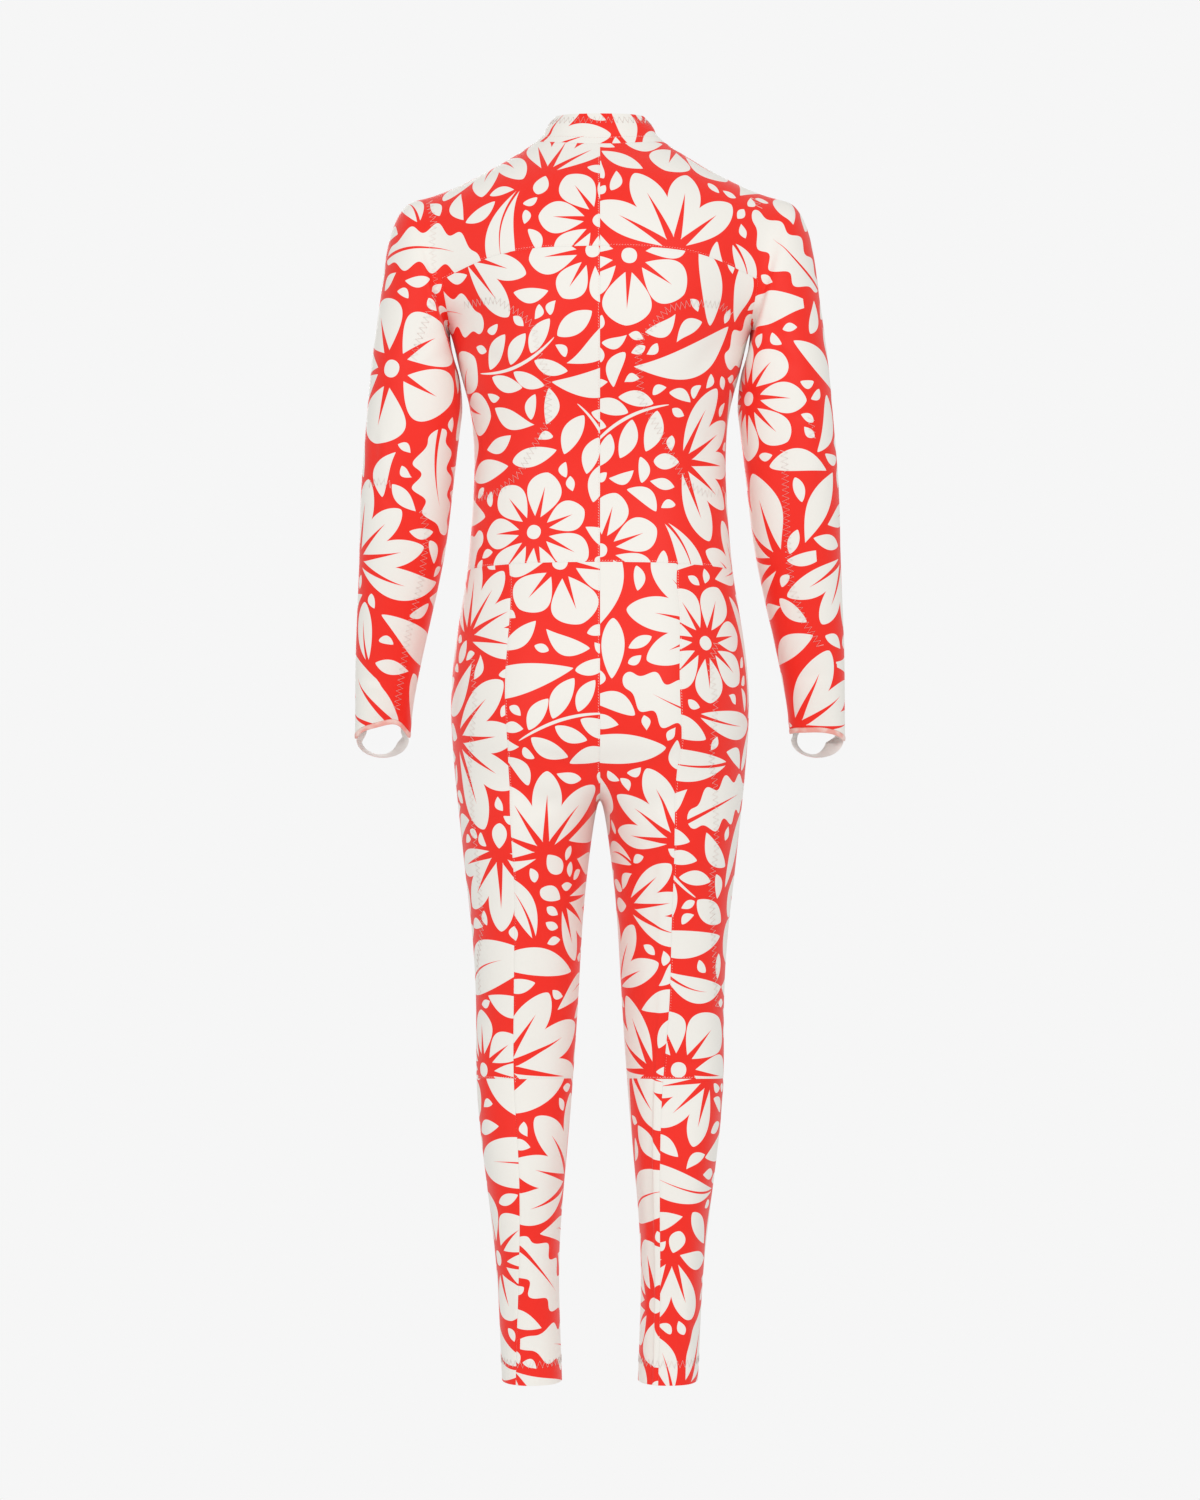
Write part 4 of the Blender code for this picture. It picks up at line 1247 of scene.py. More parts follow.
def leaf_group():
    """leaf_value() as a node group, with the rib cut out of it."""
    inputs = {"Place": "Color", "Half": "Float", "Shape": "Color", "Power": "Float"}
    work, given = group_of("leaf_value", inputs, "Value")
    m = work.math
    x, y, length = work.add("ShaderNodeSeparateColor", {0: given["Place"]}).outputs
    bow, rib, skew = work.add("ShaderNodeSeparateColor", {0: given["Shape"]}).outputs
    along = m("DIVIDE", x, length, clamp=True)
    wavy = m("GREATER_THAN", given["Power"], 1.0)
    power = m("SUBTRACT", given["Power"], wavy)
    arch = m("MULTIPLY", m("MULTIPLY", along, m("SUBTRACT", 1.0, along)), m("MULTIPLY", bow, 4.0))
    off = m("ABSOLUTE", m("SUBTRACT", y, arch))
    ripple = m("SUBTRACT", m("COSINE", m("MULTIPLY", along, 2 * math.pi * WAVES)), 1.0)
    wave = m("MULTIPLY_ADD", ripple, m("MULTIPLY", wavy, WAVE_DEPTH), 1.0)
    swell = m("MAXIMUM", m("SINE", m("MULTIPLY", m("POWER", along, skew), math.pi)), 0.0)
    width = m("MULTIPLY", m("MULTIPLY", given["Half"], wave), m("POWER", swell, power))
    beyond = m("ABSOLUTE", m("SUBTRACT", x, m("MULTIPLY", along, length)))
    value = m("SUBTRACT", m("SUBTRACT", width, off), beyond)
    taper = m("MULTIPLY", rib, m("SUBTRACT", 1.0, m("DIVIDE", along, RIB_END)))
    no_rib = m("MAXIMUM", m("GREATER_THAN", along, RIB_END), m("LESS_THAN", rib, LEAST_RIB))
    line = m("ADD", m("SUBTRACT", off, taper), m("MULTIPLY", no_rib, FAR))
    work.add("NodeGroupOutput", {"Value": m("MINIMUM", value, line)})
    return work.tree


def cloth_relief():
    """The knit's fine relief over the cloth: columns of loops, broken up by a coarser grain."""
    work, given = group_of("cloth_relief", {"Scale": "Float", "Vector": "Vector"}, "Height")
    loops = {"Vector": given["Vector"], "Scale": given["Scale"]}
    loops = work.add("ShaderNodeTexVoronoi", loops, feature="SMOOTH_F1")
    grain = {"Vector": given["Vector"], "Scale": work.math("MULTIPLY", given["Scale"], GRAIN_SCALE)}
    grain = work.math("MULTIPLY", work.add("ShaderNodeTexNoise", grain).outputs["Fac"], GRAIN_SHARE)
    work.add("NodeGroupOutput", {"Height": work.math("SUBTRACT", grain, loops.outputs["Distance"])})
    return work.tree


def shader_of(name, roughness, **values):
    """A new material, as its nodes and its shader with these values."""
    made = bpy.data.materials.new(name)
    made.use_nodes = True
    shader = made.node_tree.nodes["Principled BSDF"]
    shader.inputs["Roughness"].default_value = roughness
    for socket, value in values.items():
        shader.inputs[socket.replace("_", " ")].default_value = value
    return made, Nodes(made.node_tree), shader


def printed_knit(name, looks):
    """The knit with its print, drawn from the leaves that printed() stored."""
    values = {"Specular_IOR_Level": KNIT_SPECULAR, "Sheen_Weight": CLOTH_SHEEN}
    made, work, shader = shader_of(name, looks.knit_roughness, **values)
    group = leaf_group()
    leaves = []
    for rank in range(2):
        leaf = work.add("ShaderNodeGroup", node_tree=group)
        for kind, colour, single in (("place", "Place", "Half"), ("shape", "Shape", "Power")):
            field = work.add("ShaderNodeAttribute", attribute_name=f"leaf_{kind}_{rank}")
            work.fill(leaf.inputs[colour], field.outputs["Color"])
            work.fill(leaf.inputs[single], field.outputs["Alpha"])
        leaves.append(leaf.outputs["Value"])
    edge = {"Value": work.math("MAXIMUM", *leaves), "From Min": -PRINT_SOFTNESS, "From Max": PRINT_SOFTNESS}
    edge = work.add("ShaderNodeMapRange", edge, interpolation_type="SMOOTHSTEP")
    work.fill(shader.inputs["Base Color"], work.mix(edge.outputs["Result"], looks.red, looks.white))
    work.bump(shader, *KNIT_BUMP)
    return made


class Finish(NamedTuple):
    """A finish of one colour: the name of its colour among the looks, how rough and metallic it is, its
    sheen, its bump (scale per metre, depth in metres, stretch) and a second colour, in patches."""

    colour: str
    roughness: float
    metallic: float = 0.0
    sheen: float = 0.0
    bump: tuple = ()
    patches: str = ""


FINISHES = {
    "knit_inside": Finish("lining", 0.6, 0.0, CLOTH_SHEEN, (700, 0.0004)),
    "elastic": Finish("binding", 0.55, 0.0, CLOTH_SHEEN, (1400, 0.0008, (1, 1, 0.25)), "binding_pale"),
    # The loops' inside: pale knit, lightened further as painted light against the shade under the cuff
    "strap_inside_with_painted_light": Finish("strap_inside_with_painted_light", 0.6, 0.0, CLOTH_SHEEN, (900, 0.0003)),
    "strap_outside": Finish("strap", 0.5, bump=(900, 0.0003)),
    "thread": Finish("thread", 0.4),
    "zip_plastic": Finish("zip_white", 0.35),
    "zip_cloth": Finish("zip_white", 0.75, bump=(1600, 0.0005, (1, 1, 0.4))),
    "zip_alloy": Finish("metal", 0.38, 1.0),
    "floor_paper": Finish("floor", 0.9),
}


def plain(name, given, looks):
    """A finish of one colour as a material."""
    made, work, shader = shader_of(name, given.roughness, Metallic=given.metallic, Sheen_Weight=given.sheen)
    colour = getattr(looks, given.colour)
    shader.inputs["Base Color"].default_value = (*colour, 1.0)
    if given.bump:
        work.bump(shader, *given.bump)
    if given.patches:
        place = work.add("ShaderNodeTexCoord").outputs["Object"]
        noise = work.add("ShaderNodeTexNoise", {"Vector": place, "Scale": MOTTLE_SCALE, "Detail": 1.0})
        low, high = MOTTLE_RANGE
        fade = {"Value": noise.outputs["Fac"], "From Min": low, "From Max": high}
        fade = work.add("ShaderNodeMapRange", fade).outputs["Result"]
        work.fill(shader.inputs["Base Color"], work.mix(fade, colour, getattr(looks, given.patches)))
    return made


def finish(name):
    """A material by its name, made the first time that it is asked for."""
    found = bpy.data.materials.get(name)
    if found:
        return found
    looks = bpy.context.scene.race_suit_looks
    if name == "printed_knit":
        return printed_knit(name, looks)
    return plain(name, FINISHES[name], looks)


def object_from(bm, name, *finishes):
    mesh = bpy.data.meshes.new(name)
    bmesh.ops.recalc_face_normals(bm, faces=bm.faces)
    bm.to_mesh(mesh)
    bm.free()
    mesh.shade_smooth()
    mesh.set_sharp_from_angle(angle=math.radians(SHARP))
    obj = bpy.data.objects.new(name, mesh)
    bpy.context.scene.collection.objects.link(obj)
    for finish in finishes:
        mesh.materials.append(finish)
    return obj


_made = {}


def cloth():
    """The suit's smoothed skin and its panels, made once and shared by the operators."""
    if not _made:
        skin = build_cage()
        whole = Cloth(smooth_skin(skin, FINE), smooth_skin(build_cage(), FINE - 1))
        _made["whole"] = whole
        _made["names"] = list(skin.pieces)
        _made["panels"] = {name: Panel(whole, number) for number, name in enumerate(skin.pieces)}
    return _made


def panel_area(panel):
    """The outer face's area in square metres."""
    a, b, c, d = (panel.points[panel.quads[:, n]] for n in range(4))
    return np.linalg.norm(np.cross(c - a, d - b), axis=1).sum() / 2


def printed_panels(context):
    sizes = context.scene.race_suit_sizes
    made = cloth()
    for number, name in enumerate(made["names"]):
        if name.startswith("cuff"):
            continue
        panel = made["panels"][name]
        panel.draw_back(sizes.groove)
        thickness = sizes.collar_cloth if name == "collar" else sizes.cloth
        obj = panel.build(f"cloth_{name}", thickness, finish("printed_knit"), finish("knit_inside"))
        printed(obj, panel, number + PRINT_SEED)
        dress(obj, "collar_cloth" if name == "collar" else "printed_cloth", name)


def dress(obj, slot, *nodes):
    """Ties a piece to the suit and hides the CAD nodes whose place it takes. Its slot is not used."""
    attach(obj, SUIT)
    if nodes:
        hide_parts(*nodes)


def cuff_bindings(context):
    """The folded elastic round each sleeve end, swelling between its two edges."""
    sizes = context.scene.race_suit_sizes
    made = cloth()
    for side in (1, -1):
        name = side_name("cuff", side)
        panel = made["panels"][name]
        panel.draw_back(sizes.groove)
        edge = KDTree(len(panel.rim))
        for number, (a, _) in enumerate(panel.rim):
            edge.insert(panel.points[a], number)
        edge.balance()
        half = sizes.binding_height / 2
        for number, place in enumerate(panel.points):
            inward = 1 - min(1.0, edge.find(place)[2] / half)
            panel.points[number] += sizes.binding_swell * math.sqrt(1 - inward**2) * panel.normals[number]
        obj = panel.build(f"binding_{name}", sizes.binding_cloth, finish("elastic"), finish("elastic"))
        dress(obj, "elastic_binding", name)


def tube(bm, rows):
    """Joins rows of points into a closed tube. Gives its side faces with their numbers round it."""
    made = []
    count = len(rows[0])
    for upper, lower in zip(rows, rows[1:]):
        for n in range(count):
            after = (n + 1) % count
            made.append((n, bm.faces.new([upper[n], upper[after], lower[after], lower[n]])))
    bm.faces.new(list(reversed(rows[0])))
    bm.faces.new(rows[-1])
    return made


def hand_loops(context):
    """The strap under each cuff, rounded over at its edges and hanging unevenly, as a strap does."""
    sizes = context.scene.race_suit_sizes
    end = SLEEVE_RINGS[-1]
    centre = (end.x_out + end.x_in) / 2
    for side in (1, -1):
        bm = bmesh.new()
        shift, narrower, nearer = STRAP_HANG[side]
        rows = []
        for step in range(-STRAP_ENDS, STRAP_STEPS + STRAP_ENDS + 1):
            beyond = max(-step, step - STRAP_STEPS, 0)
            turn = math.pi * min(max(step / STRAP_STEPS, 0.0), 1.0)
            hang = min(1.0, STRAP_TAKES_HANG * math.sin(turn))
            sag = STRAP_SAG * math.sin(turn) * math.cos(2 * turn + side)
            out = np.array((math.cos(turn), 0.0, -math.sin(turn)))
            edges = []
            for (half, depth, top, drop), share in ((LOOP_NEAR, 0.0), (LOOP_FAR, hang)):
                x = centre + (half - share * narrower) * out[0] + share * shift
                z = top + (drop + sag) * out[2] + beyond * STRAP_END_STEP
                sunk = min(beyond, 1) * STRAP_END_SUNK
                edges.append(np.array((x, depth + share * nearer, z)) - sunk * out)
            near, far = edges
            row = []
            for number in range(2 * STRAP_SPAN):
                upper = number < STRAP_SPAN
                share = (number if upper else 2 * STRAP_SPAN - 1 - number) / (STRAP_SPAN - 1)
                flat = 1 - abs(2 * share - 1) ** STRAP_EDGE
                sunk = sizes.cloth / MM * (0.5 - 0.5 * flat if upper else 0.5 + 0.5 * flat)
                place = near + (far - near) * share - sunk * out
                row.append(bm.verts.new((side * place[0] * MM, place[1] * MM, place[2] * MM)))
            rows.append(row)
        for n, face in tube(bm, rows):
            face.material_index = 0 if STRAP_SPAN <= n < 2 * STRAP_SPAN - 1 else 1
        name = side_name("hand_loop", side)
        obj = object_from(bm, f"strap_{name}", finish("strap_inside_with_painted_light"), finish("strap_outside"))
        dress(obj, "strap_cloth", name)


class Run(NamedTuple):
    """A line on the cloth: its points and the way that the cloth faces at each."""

    points: list
    normals: list


def cloth_face(start, way, side):
    """Where a ray meets the cloth, and the cloth's facing there towards the given side. None for a miss."""
    place, facing, _, _ = _made["whole"].whole.ray_cast(start, way)
    if place is None:
        return None
    return place, facing if facing.dot(side) > 0 else -facing


def run_through(faces):
    """The line through the places that were found."""
    found = [face for face in faces if face]
    return Run([place for place, _ in found], [facing for _, facing in found])


def photo_run(places):
    """A line on the suit's back, from sideways and height places in millimetres seen from behind."""
    eye, faces = Vector(EYE), []
    for (x0, z0), (x1, z1) in zip(places, places[1:]):
        steps = max(1, round(math.hypot(x1 - x0, z1 - z0) / LINE_STEP))
        for share in np.arange(steps) / steps:
            aim = Vector((blend(x0, x1, share) * MM, 0, blend(z0, z1, share) * MM))
            faces.append(cloth_face(eye, (aim - eye).normalized(), Vector((0, 1, 0))))
    return run_through(faces)


def ring_run(centre_x, centre_y, height, reach):
    """A line round a leg or the neck, at heights given by a function of the angle."""
    faces = []
    for step in range(RING_STEPS + 1):
        turn = 2 * math.pi * step / RING_STEPS
        out = Vector((math.sin(turn), math.cos(turn), 0))
        start = Vector((centre_x, centre_y, height(turn))) + reach * out
        faces.append(cloth_face(start, -out, out))
    return run_through(faces)


def collar_run(share):
    """A line round the collar, at a share of the way from its seam to its top."""
    return ring_run(0, COLLAR_DEPTH, lambda turn: collar_height(turn, share), COLLAR_REACH)


def lines_mesh(name, runs, lift):
    """The runs as an edge mesh that carries the cloth's facing in an attribute."""
    places, edges, facing = [], [], []
    for run in runs:
        first = len(places)
        normals = [Vector(normal).normalized() for normal in run.normals]
        places += [tuple(Vector(place) + lift * normal) for place, normal in zip(run.points, normals)]
        facing += [tuple(normal) for normal in normals]
        edges += [(n, n + 1) for n in range(first, len(places) - 1)]
    mesh = bpy.data.meshes.new(name)
    mesh.from_pydata(places, edges, [])
    layer = mesh.attributes.new("facing", "FLOAT_VECTOR", "POINT")
    layer.data.foreach_set("vector", np.array(facing, np.float32).ravel())
    obj = bpy.data.objects.new(name, mesh)
    bpy.context.scene.collection.objects.link(obj)
    return obj


class Tree(Nodes):
    """A geometry node tree with a size for each of its named inputs, and a material."""

    def __init__(self, name, sizes):
        super().__init__(bpy.data.node_groups.new(name, "GeometryNodeTree"))
        face = self.tree.interface
        face.new_socket("Geometry", in_out="INPUT", socket_type="NodeSocketGeometry")
        self.sizes = {}
        for size, value in sizes.items():
            socket = face.new_socket(size, in_out="INPUT", socket_type="NodeSocketFloat")
            socket.default_value = value
            self.sizes[socket.identifier] = value
        socket = face.new_socket("Material", in_out="INPUT", socket_type="NodeSocketMaterial")
        self.material = socket.identifier
        face.new_socket("Geometry", in_out="OUTPUT", socket_type="NodeSocketGeometry")
        self.given = self.add("NodeGroupInput").outputs

    def read(self, kind, **values):
        """The first output of an input node."""
        return self.add(kind, values).outputs[0]

    def facing(self):
        """The way that the cloth faces, which lines_mesh() stored."""
        named = {"Name": "facing"}
        named = self.add("GeometryNodeInputNamedAttribute", named, data_type="FLOAT_VECTOR")
        return named.outputs["Attribute"]

    def even_curve(self, step):
        """The lines as curves, with a point at every such step."""
        curve = self.add("GeometryNodeMeshToCurve", {"Mesh": self.given["Geometry"]}).outputs["Curve"]
        even = {"Curve": curve, "Length": self.given[step]}
        return self.add("GeometryNodeResampleCurve", even, mode="LENGTH").outputs["Curve"]

    def end(self, geometry):
        """Ends the tree with its instances realised and its material set."""
        geometry = self.add("GeometryNodeRealizeInstances", {"Geometry": geometry}).outputs["Geometry"]
        done = {"Geometry": geometry, "Material": self.given["Material"]}
        done = self.add("GeometryNodeSetMaterial", done).outputs["Geometry"]
        self.add("NodeGroupOutput", {"Geometry": done})
        return self


def sew(name, runs, lift, tree, look, slot):
    """Lays a tree's stitches or teeth along the runs, as a plain mesh in its finish."""
    obj = lines_mesh(name, runs, lift)
    worker = obj.modifiers.new("nodes", "NODES")
    worker.node_group = tree.tree
    worker[tree.material] = finish(look)
    for identifier, value in tree.sizes.items():
        worker[identifier] = float(value)
    graph = bpy.context.evaluated_depsgraph_get()
    mesh = bpy.data.meshes.new_from_object(obj.evaluated_get(graph))
    obj.modifiers.remove(worker)
    obj.data = mesh
    mesh.name = name
    mesh.shade_smooth()
    dress(obj, slot)


def zigzag_tree(sizes):
    """A thread that steps from side to side along each line."""
    widths = {"Width": sizes.zigzag_width, "Step": sizes.zigzag_step, "Thread": sizes.thread}
    tree = Tree("zigzag_stitch", widths)
    tangent, index = tree.read("GeometryNodeInputTangent"), tree.read("GeometryNodeInputIndex")
    across = tree.vector("NORMALIZE", tree.vector("CROSS_PRODUCT", tangent, tree.facing()))
    flip = tree.math("SUBTRACT", tree.math("MODULO", index, 2.0), 0.5)
    shift = tree.scaled(across, tree.math("MULTIPLY", flip, tree.given["Width"]))
    line = {"Geometry": tree.even_curve("Step"), "Offset": shift}
    line = tree.add("GeometryNodeSetPosition", line).outputs["Geometry"]
    ring = {"Resolution": THREAD_SIDES, "Radius": tree.given["Thread"]}
    ring = tree.add("GeometryNodeCurvePrimitiveCircle", ring).outputs["Curve"]
    thread = tree.add("GeometryNodeCurveToMesh", {"Curve": line, "Profile Curve": ring})
    return tree.end(thread.outputs["Mesh"])


def stitch_tree(name, pitch, length, thread, slant=0.0):
    """Short stitches laid one after another along each line."""
    tree = Tree(name, {"Pitch": pitch, "Length": length, "Thread": thread, "Turn": slant})
    tangent = tree.read("GeometryNodeInputTangent")
    across = tree.vector("CROSS_PRODUCT", tree.facing(), tangent)
    along = tree.vector("ADD", tangent, tree.scaled(across, tree.given["Turn"]))
    turned = {"Primary Axis": along, "Secondary Axis": tree.facing()}
    turned = tree.add("FunctionNodeAxesToRotation", turned, primary_axis="X", secondary_axis="Z")
    half = tree.math("MULTIPLY", tree.given["Length"], 0.5)
    scale = {"X": half, "Y": tree.given["Thread"], "Z": tree.given["Thread"]}
    stitches = {
        "Points": tree.even_curve("Pitch"),
        "Instance": tree.read("GeometryNodeMeshIcoSphere", Subdivisions=1, Radius=1.0),
        "Rotation": turned.outputs["Rotation"],
        "Scale": tree.add("ShaderNodeCombineXYZ", scale).outputs["Vector"],
    }
    return tree.end(tree.add("GeometryNodeInstanceOnPoints", stitches).outputs["Instances"])


def seam_runs():
    """The line of stitches beside each seam, on one of the two panels that meet there."""
    made = cloth()
    runs, taken = [], set()
    for name in made["names"]:
        panel = made["panels"][name]
        if name.startswith("cuff"):
            continue
        ahead = {}
        for a, b in panel.rim:
            key = frozenset((int(panel.source[a]), int(panel.source[b])))
            if panel.shared[a] and panel.shared[b] and key not in taken:
                ahead[a] = b
            taken.add(key)
        starts = [a for a in ahead if a not in set(ahead.values())] or list(ahead)[:1]
        for start in starts:
            line, here = [start], start
            while here in ahead:
                here = ahead.pop(here)
                line.append(here)
            if len(line) > LEAST_RUN:
                runs.append(offset_run(panel, line, SEAM_STITCH_OFF))
    return runs


def offset_run(panel, line, off):
    """A line that keeps beside a panel's edge, that far into the panel."""
    places, facings = panel.points[line], panel.normals[line]
    along = unit(np.gradient(places, axis=0))
    inward = unit(np.cross(facings, along))
    return Run(list(places + off * inward), list(facings))


def straight_stitch(name, sizes, slant=0.0):
    return stitch_tree(name, sizes.stitch_pitch, sizes.stitch_length, sizes.thread, slant)


def seam_stitches(context):
    """The overlock's short stitches beside every seam."""
    sizes = context.scene.race_suit_sizes
    tree = straight_stitch("seam_stitch", sizes, STITCH_SLANT)
    sew("seam_stitches", seam_runs(), sizes.thread * STITCH_LIFT, tree, "thread", "printed_cloth")


def zigzag_lines(context):
    """The zigzag topstitching that holds the padding, the hems and the collar's facing."""
    sizes = context.scene.race_suit_sizes
    runs = [photo_run(places) for places in ZIGZAGS]
    for side in (1, -1):
        leg = side * LEG_RINGS[-1].centre * MM
        runs.append(ring_run(leg, HEM_DEPTH, lambda turn: HEM_STITCH, HEM_REACH))
    runs.append(collar_run(COLLAR_STITCH))
    lift = sizes.thread * ZIGZAG_LIFT
    sew("zigzag_stitches", runs, lift, zigzag_tree(sizes), "thread", "printed_cloth")
    tree = straight_stitch("top_stitch", sizes)
    lift = sizes.thread * STITCH_LIFT
    sew("collar_stitches", [collar_run(COLLAR_TOPSTITCH)], lift, tree, "thread", "collar_cloth")


def collar_height(turn, share):
    """A height on the collar, as a share of the way from its seam to its top."""
    cosine = math.cos(turn)
    heights = []
    for name in ("neckline", "collar_top"):
        ring = next(ring for ring in NECK_RINGS if ring.name == name)
        end = ring.z_back if cosine > 0 else ring.z_front
        heights.append(blend(ring.z_side, end, cosine**2) * MM)
    return blend(*heights, share)


def front_face(across, height):
    """The cloth's face beside centre front, facing straight on from side to side. None for a miss."""
    found = cloth_face(Vector((across, BEFORE_FRONT, height)), Vector((0, 1, 0)), Vector((0, -1, 0)))
    if found is None or found[0].y > 0:
        return None
    place, facing = found
    return place, Vector((0, facing.y, facing.z)).normalized()


def under_face(found, across, depth):
    """A point to one side of centre front, that far under the face that was found."""
    place, facing = found
    return Vector((across, place.y, place.z)) - depth * facing


def zip_teeth(context):
    """The zip's two rows of teeth, meshed down the middle of the chain."""
    sizes = context.scene.race_suit_sizes
    low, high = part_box("zip_chain")
    rows = []
    for side in (1, -1):
        first = high.z - (ZIP_STEP / 2 if side > 0 else 0.0)
        steps = round((high.z - low.z) / ZIP_STEP)
        found = [front_face(side * BESIDE_ZIP, first - step * ZIP_STEP) for step in range(steps)]
        found = [face for face in found if face]
        points = [under_face(face, side * sizes.tooth_off, sizes.tooth_depth) for face in found]
        rows.append(Run(points, [facing for _, facing in found]))
    tree = stitch_tree("zip_tooth", ZIP_STEP, sizes.tooth_length, sizes.tooth_width)
    sew("zip_teeth", rows, 0.0, tree, "zip_plastic", "zip_teeth")


def front_strip(name, heights, half, depths, look, slot, bevel=0.0):
    """A closed strip down centre front, between two depths under the cloth's face."""
    bm = bmesh.new()
    outer, inner = depths
    corners = ((half, outer), (-half, outer), (-half, inner), (half, inner))
    rows = []
    for height in heights:
        found = front_face(ON_LINE, height)
        if found is None:
            raise RuntimeError(f"no cloth at centre front at a height of {height}")
        rows.append([bm.verts.new(under_face(found, *corner)) for corner in corners])
    tube(bm, rows)
    if bevel:
        soft = {"offset": bevel, "segments": STOP_BEVEL_STEPS, "profile": 0.5, "affect": "EDGES"}
        bmesh.ops.bevel(bm, geom=bm.edges[:], **soft)
    dress(object_from(bm, name, finish(look)), slot)


def zip_end(context):
    """The zip's bottom stop, and the end of its tape that closes the opening below it."""
    chain_low, tape_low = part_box("zip_chain")[0].z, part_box("zip_tape")[0].z
    stop = [chain_low + share * STOP_HEIGHT for share in STOP_ENDS]
    front_strip("zip_stop", stop, STOP_HALF, STOP_DEPTHS, "zip_plastic", "zip_teeth", STOP_BEVEL)
    steps = [tape_low + TAPE_END_ABOVE - n * TAPE_END_STEP for n in range(TAPE_END_STEPS + 1)]
    front_strip("zip_tape_end", steps, TAPE_END_HALF, TAPE_END_DEPTHS, "zip_cloth", "zip_tape")


def zip_parts(context):
    """The zip's tape, chain, slider and pull keep the CAD's shapes and take finer finishes."""
    for node in ("zip_tape", "zip_chain", "zip_slider", "zip_pull"):
        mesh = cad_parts[node].data
        mesh.materials.clear()
        mesh.materials.append(finish("zip_cloth" if node in ("zip_tape", "zip_chain") else "zip_alloy"))
    zip_teeth(context)
    zip_end(context)


def studio(context):
    """A pale floor, soft light all round and a camera straight behind the suit."""
    looks = context.scene.race_suit_looks
    scene = context.scene
    bm = bmesh.new()
    bmesh.ops.create_circle(bm, cap_ends=True, segments=FLOOR_SIDES, radius=FLOOR_RADIUS)
    bmesh.ops.translate(bm, verts=bm.verts, vec=(0, 0, FLOOR_HEIGHT))
    object_from(bm, "floor", finish("floor_paper"))
    world = bpy.data.worlds.new("studio")
    world.use_nodes = True
    work = Nodes(world.node_tree)
    light, output = work.tree.nodes["Background"], work.tree.nodes["World Output"]
    work.fill(light.inputs["Color"], (1, 1, 1, 1))
    work.fill(light.inputs["Strength"], looks.surround)
    seen = work.add("ShaderNodeBackground", {"Color": (*looks.backdrop, 1), "Strength": 1.0}).outputs[0]
    ray = work.add("ShaderNodeLightPath").outputs["Is Camera Ray"]
    mix = work.add("ShaderNodeMixShader", {"Fac": ray, 1: light.outputs[0], 2: seen})
    work.fill(output.inputs["Surface"], mix.outputs[0])
    scene.world = world
    for lamp in LAMPS:
        data = bpy.data.lights.new(lamp.name, "AREA")
        data.shape, data.size, data.size_y, data.energy = "RECTANGLE", lamp.width, lamp.height, lamp.power
        obj = bpy.data.objects.new(lamp.name, data)
        obj.location = lamp.place
        aim = Vector((0, 0, EYE[2])) - Vector(lamp.place)
        obj.rotation_euler = aim.to_track_quat("-Z", "Y").to_euler()
        scene.collection.objects.link(obj)
    camera = bpy.data.objects.new("camera", bpy.data.cameras.new("camera"))
    scene.collection.objects.link(camera)
    camera.data.sensor_width, camera.data.lens = SENSOR, LENS
    camera.location = EYE
    camera.rotation_euler = (math.radians(90), 0, math.radians(180))
    camera.data.clip_end = SIGHT
    scene.camera = camera
    scene.view_settings.view_transform = "Standard"


def length_setting(name, description, default):
    values = {"name": name, "description": description, "default": default}
    return bpy.props.FloatProperty(**values, min=0.0, max=0.1, unit="LENGTH", precision=5)


def colour_setting(name, description, default):
    values = {"name": name, "description": description, "default": default}
    return bpy.props.FloatVectorProperty(**values, size=3, min=0.0, max=1.0, subtype="COLOR")


class RaceSuitSizes(bpy.types.PropertyGroup):
    """The suit's cloth, stitches and trimmings, in metres."""

    cloth: length_setting("Cloth", "Thickness of the printed knit", CLOTH)
    collar_cloth: length_setting("Collar", "Thickness of the doubled collar", COLLAR_CLOTH)
    binding_cloth: length_setting("Binding", "Thickness of the folded elastic", BINDING_CLOTH)
    binding_height: length_setting("Binding height", "Height of the elastic round the cuffs", 0.0055)
    binding_swell: length_setting("Binding swell", "How far the elastic swells between its edges", 0.0006)
    groove: length_setting("Seam groove", "How far the cloth dips at a seam", 0.0004)
    thread: length_setting("Thread", "Half the thickness of the sewing thread", 0.00028)
    stitch_length: length_setting("Stitch length", "Length of one straight stitch", 0.0022)
    stitch_pitch: length_setting("Stitch pitch", "Distance from one straight stitch to the next", 0.0029)
    zigzag_width: length_setting("Zigzag width", "Width of the zigzag topstitching", 0.0075)
    zigzag_step: length_setting("Zigzag step", "Distance along the line between corners", 0.0030)
    tooth_length: length_setting("Tooth length", "Height of one zip tooth along the chain", 0.0017)
    tooth_width: length_setting("Tooth width", "Half the width of one zip tooth", 0.0013)
    tooth_off: length_setting("Tooth offset", "How far each row of teeth stands from the middle", 0.0009)
    tooth_depth: length_setting("Tooth depth", "How far the teeth lie under the cloth's face", 0.0001)


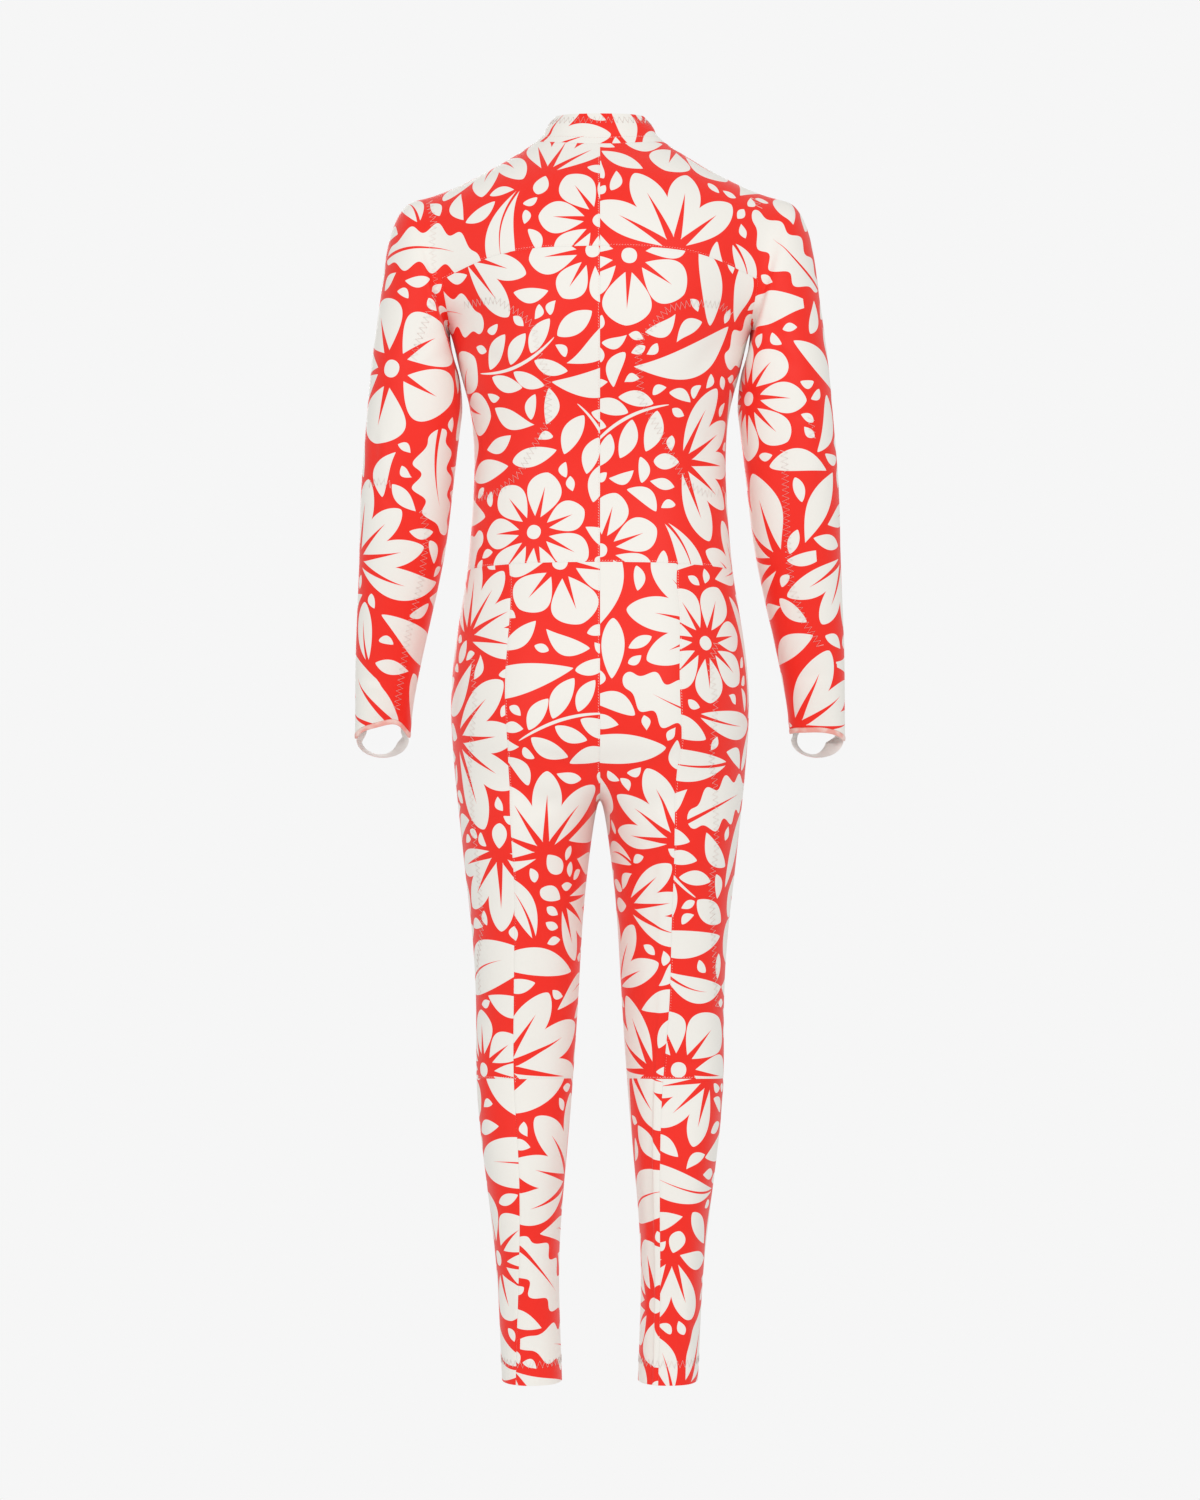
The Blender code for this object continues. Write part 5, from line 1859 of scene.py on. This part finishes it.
class RaceSuitLooks(bpy.types.PropertyGroup):
    """The suit's colours and the studio's light."""

    red: colour_setting("Red", "The print's ground", (0.95, 0.020, 0.008))
    white: colour_setting("White", "The print's shapes and the undyed knit", (0.91, 0.885, 0.825))
    lining: colour_setting("Inside", "The knit's unprinted inside", (0.90, 0.81, 0.77))
    binding: colour_setting("Binding", "The cuffs' elastic", (0.90, 0.40, 0.34))
    binding_pale: colour_setting("Pale binding", "The elastic's paler patches", (0.93, 0.70, 0.63))
    # The loops' inside is pale knit, its colour raised nearly to white as painted light against shade
    strap_inside_with_painted_light: colour_setting("Strap inside", "The inside of the hand loops", (0.97, 0.94, 0.90))
    strap: colour_setting("Strap", "The outside of the hand loops", (0.80, 0.12, 0.08))
    thread: colour_setting("Thread", "The sewing thread", (0.92, 0.76, 0.71))
    zip_white: colour_setting("Zip", "The zip's teeth and tape", (0.80, 0.80, 0.78))
    metal: colour_setting("Slider", "The zip's slider and pull", (0.30, 0.30, 0.31))
    backdrop: colour_setting("Backdrop", "The studio's background", (0.922, 0.922, 0.922))
    floor: colour_setting("Floor", "The studio's floor", (0.86, 0.86, 0.86))
    surround: bpy.props.FloatProperty(
        name="Surround",
        description="Strength of the light from all round",
        default=0.68,
        min=0.0,
        max=5.0,
    )
    knit_roughness: bpy.props.FloatProperty(
        name="Knit roughness",
        description="How dull the printed knit is",
        default=0.48,
        min=0.0,
        max=1.0,
        subtype="FACTOR",
    )


class RACESUIT_OT_panels(bpy.types.Operator):
    """Sew the printed panels and the collar"""

    bl_idname = "racesuit.panels"
    bl_label = "Printed panels"

    def execute(self, context):
        printed_panels(context)
        return {"FINISHED"}


class RACESUIT_OT_bindings(bpy.types.Operator):
    """Bind the sleeve ends with folded elastic"""

    bl_idname = "racesuit.bindings"
    bl_label = "Cuff bindings"

    def execute(self, context):
        cuff_bindings(context)
        return {"FINISHED"}


class RACESUIT_OT_loops(bpy.types.Operator):
    """Hang a hand loop under each cuff"""

    bl_idname = "racesuit.loops"
    bl_label = "Hand loops"

    def execute(self, context):
        hand_loops(context)
        return {"FINISHED"}


class RACESUIT_OT_stitches(bpy.types.Operator):
    """Sew the stitches beside the seams"""

    bl_idname = "racesuit.stitches"
    bl_label = "Seam stitches"

    def execute(self, context):
        seam_stitches(context)
        return {"FINISHED"}


class RACESUIT_OT_zigzags(bpy.types.Operator):
    """Sew the zigzag lines, the hems and the collar's topstitching"""

    bl_idname = "racesuit.zigzags"
    bl_label = "Zigzag lines"

    def execute(self, context):
        zigzag_lines(context)
        return {"FINISHED"}


class RACESUIT_OT_zip(bpy.types.Operator):
    """Finish the zip and set its teeth"""

    bl_idname = "racesuit.zip"
    bl_label = "Zip"

    def execute(self, context):
        zip_parts(context)
        return {"FINISHED"}


class RACESUIT_OT_studio(bpy.types.Operator):
    """Set up the floor, the light and the camera"""

    bl_idname = "racesuit.studio"
    bl_label = "Studio"

    def execute(self, context):
        studio(context)
        return {"FINISHED"}


OPERATORS = (
    RACESUIT_OT_panels,
    RACESUIT_OT_bindings,
    RACESUIT_OT_loops,
    RACESUIT_OT_stitches,
    RACESUIT_OT_zigzags,
    RACESUIT_OT_zip,
    RACESUIT_OT_studio,
)


class RACESUIT_PT_sidebar(bpy.types.Panel):
    """Lists the race suit's pieces, sizes and colours"""

    bl_label = "Race suit"
    bl_idname = "RACESUIT_PT_sidebar"
    bl_space_type = "VIEW_3D"
    bl_region_type = "UI"
    bl_category = "Race suit"

    def draw(self, context):
        for operator in OPERATORS:
            self.layout.operator(operator.bl_idname)
        for group in (context.scene.race_suit_sizes, context.scene.race_suit_looks):
            for name in group.bl_rna.properties.keys()[2:]:
                self.layout.prop(group, name)


CLASSES = (RaceSuitSizes, RaceSuitLooks, *OPERATORS, RACESUIT_PT_sidebar)


def register():
    for made in CLASSES:
        bpy.utils.register_class(made)
    bpy.types.Scene.race_suit_sizes = bpy.props.PointerProperty(type=RaceSuitSizes)
    bpy.types.Scene.race_suit_looks = bpy.props.PointerProperty(type=RaceSuitLooks)


def unregister():
    del bpy.types.Scene.race_suit_sizes
    del bpy.types.Scene.race_suit_looks
    for made in reversed(CLASSES):
        bpy.utils.unregister_class(made)


def main():
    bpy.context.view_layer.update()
    register()
    bpy.ops.racesuit.panels()
    bpy.ops.racesuit.bindings()
    bpy.ops.racesuit.loops()
    bpy.ops.racesuit.stitches()
    bpy.ops.racesuit.zigzags()
    bpy.ops.racesuit.zip()
    bpy.ops.racesuit.studio()


if __name__ == "__main__":
    main()
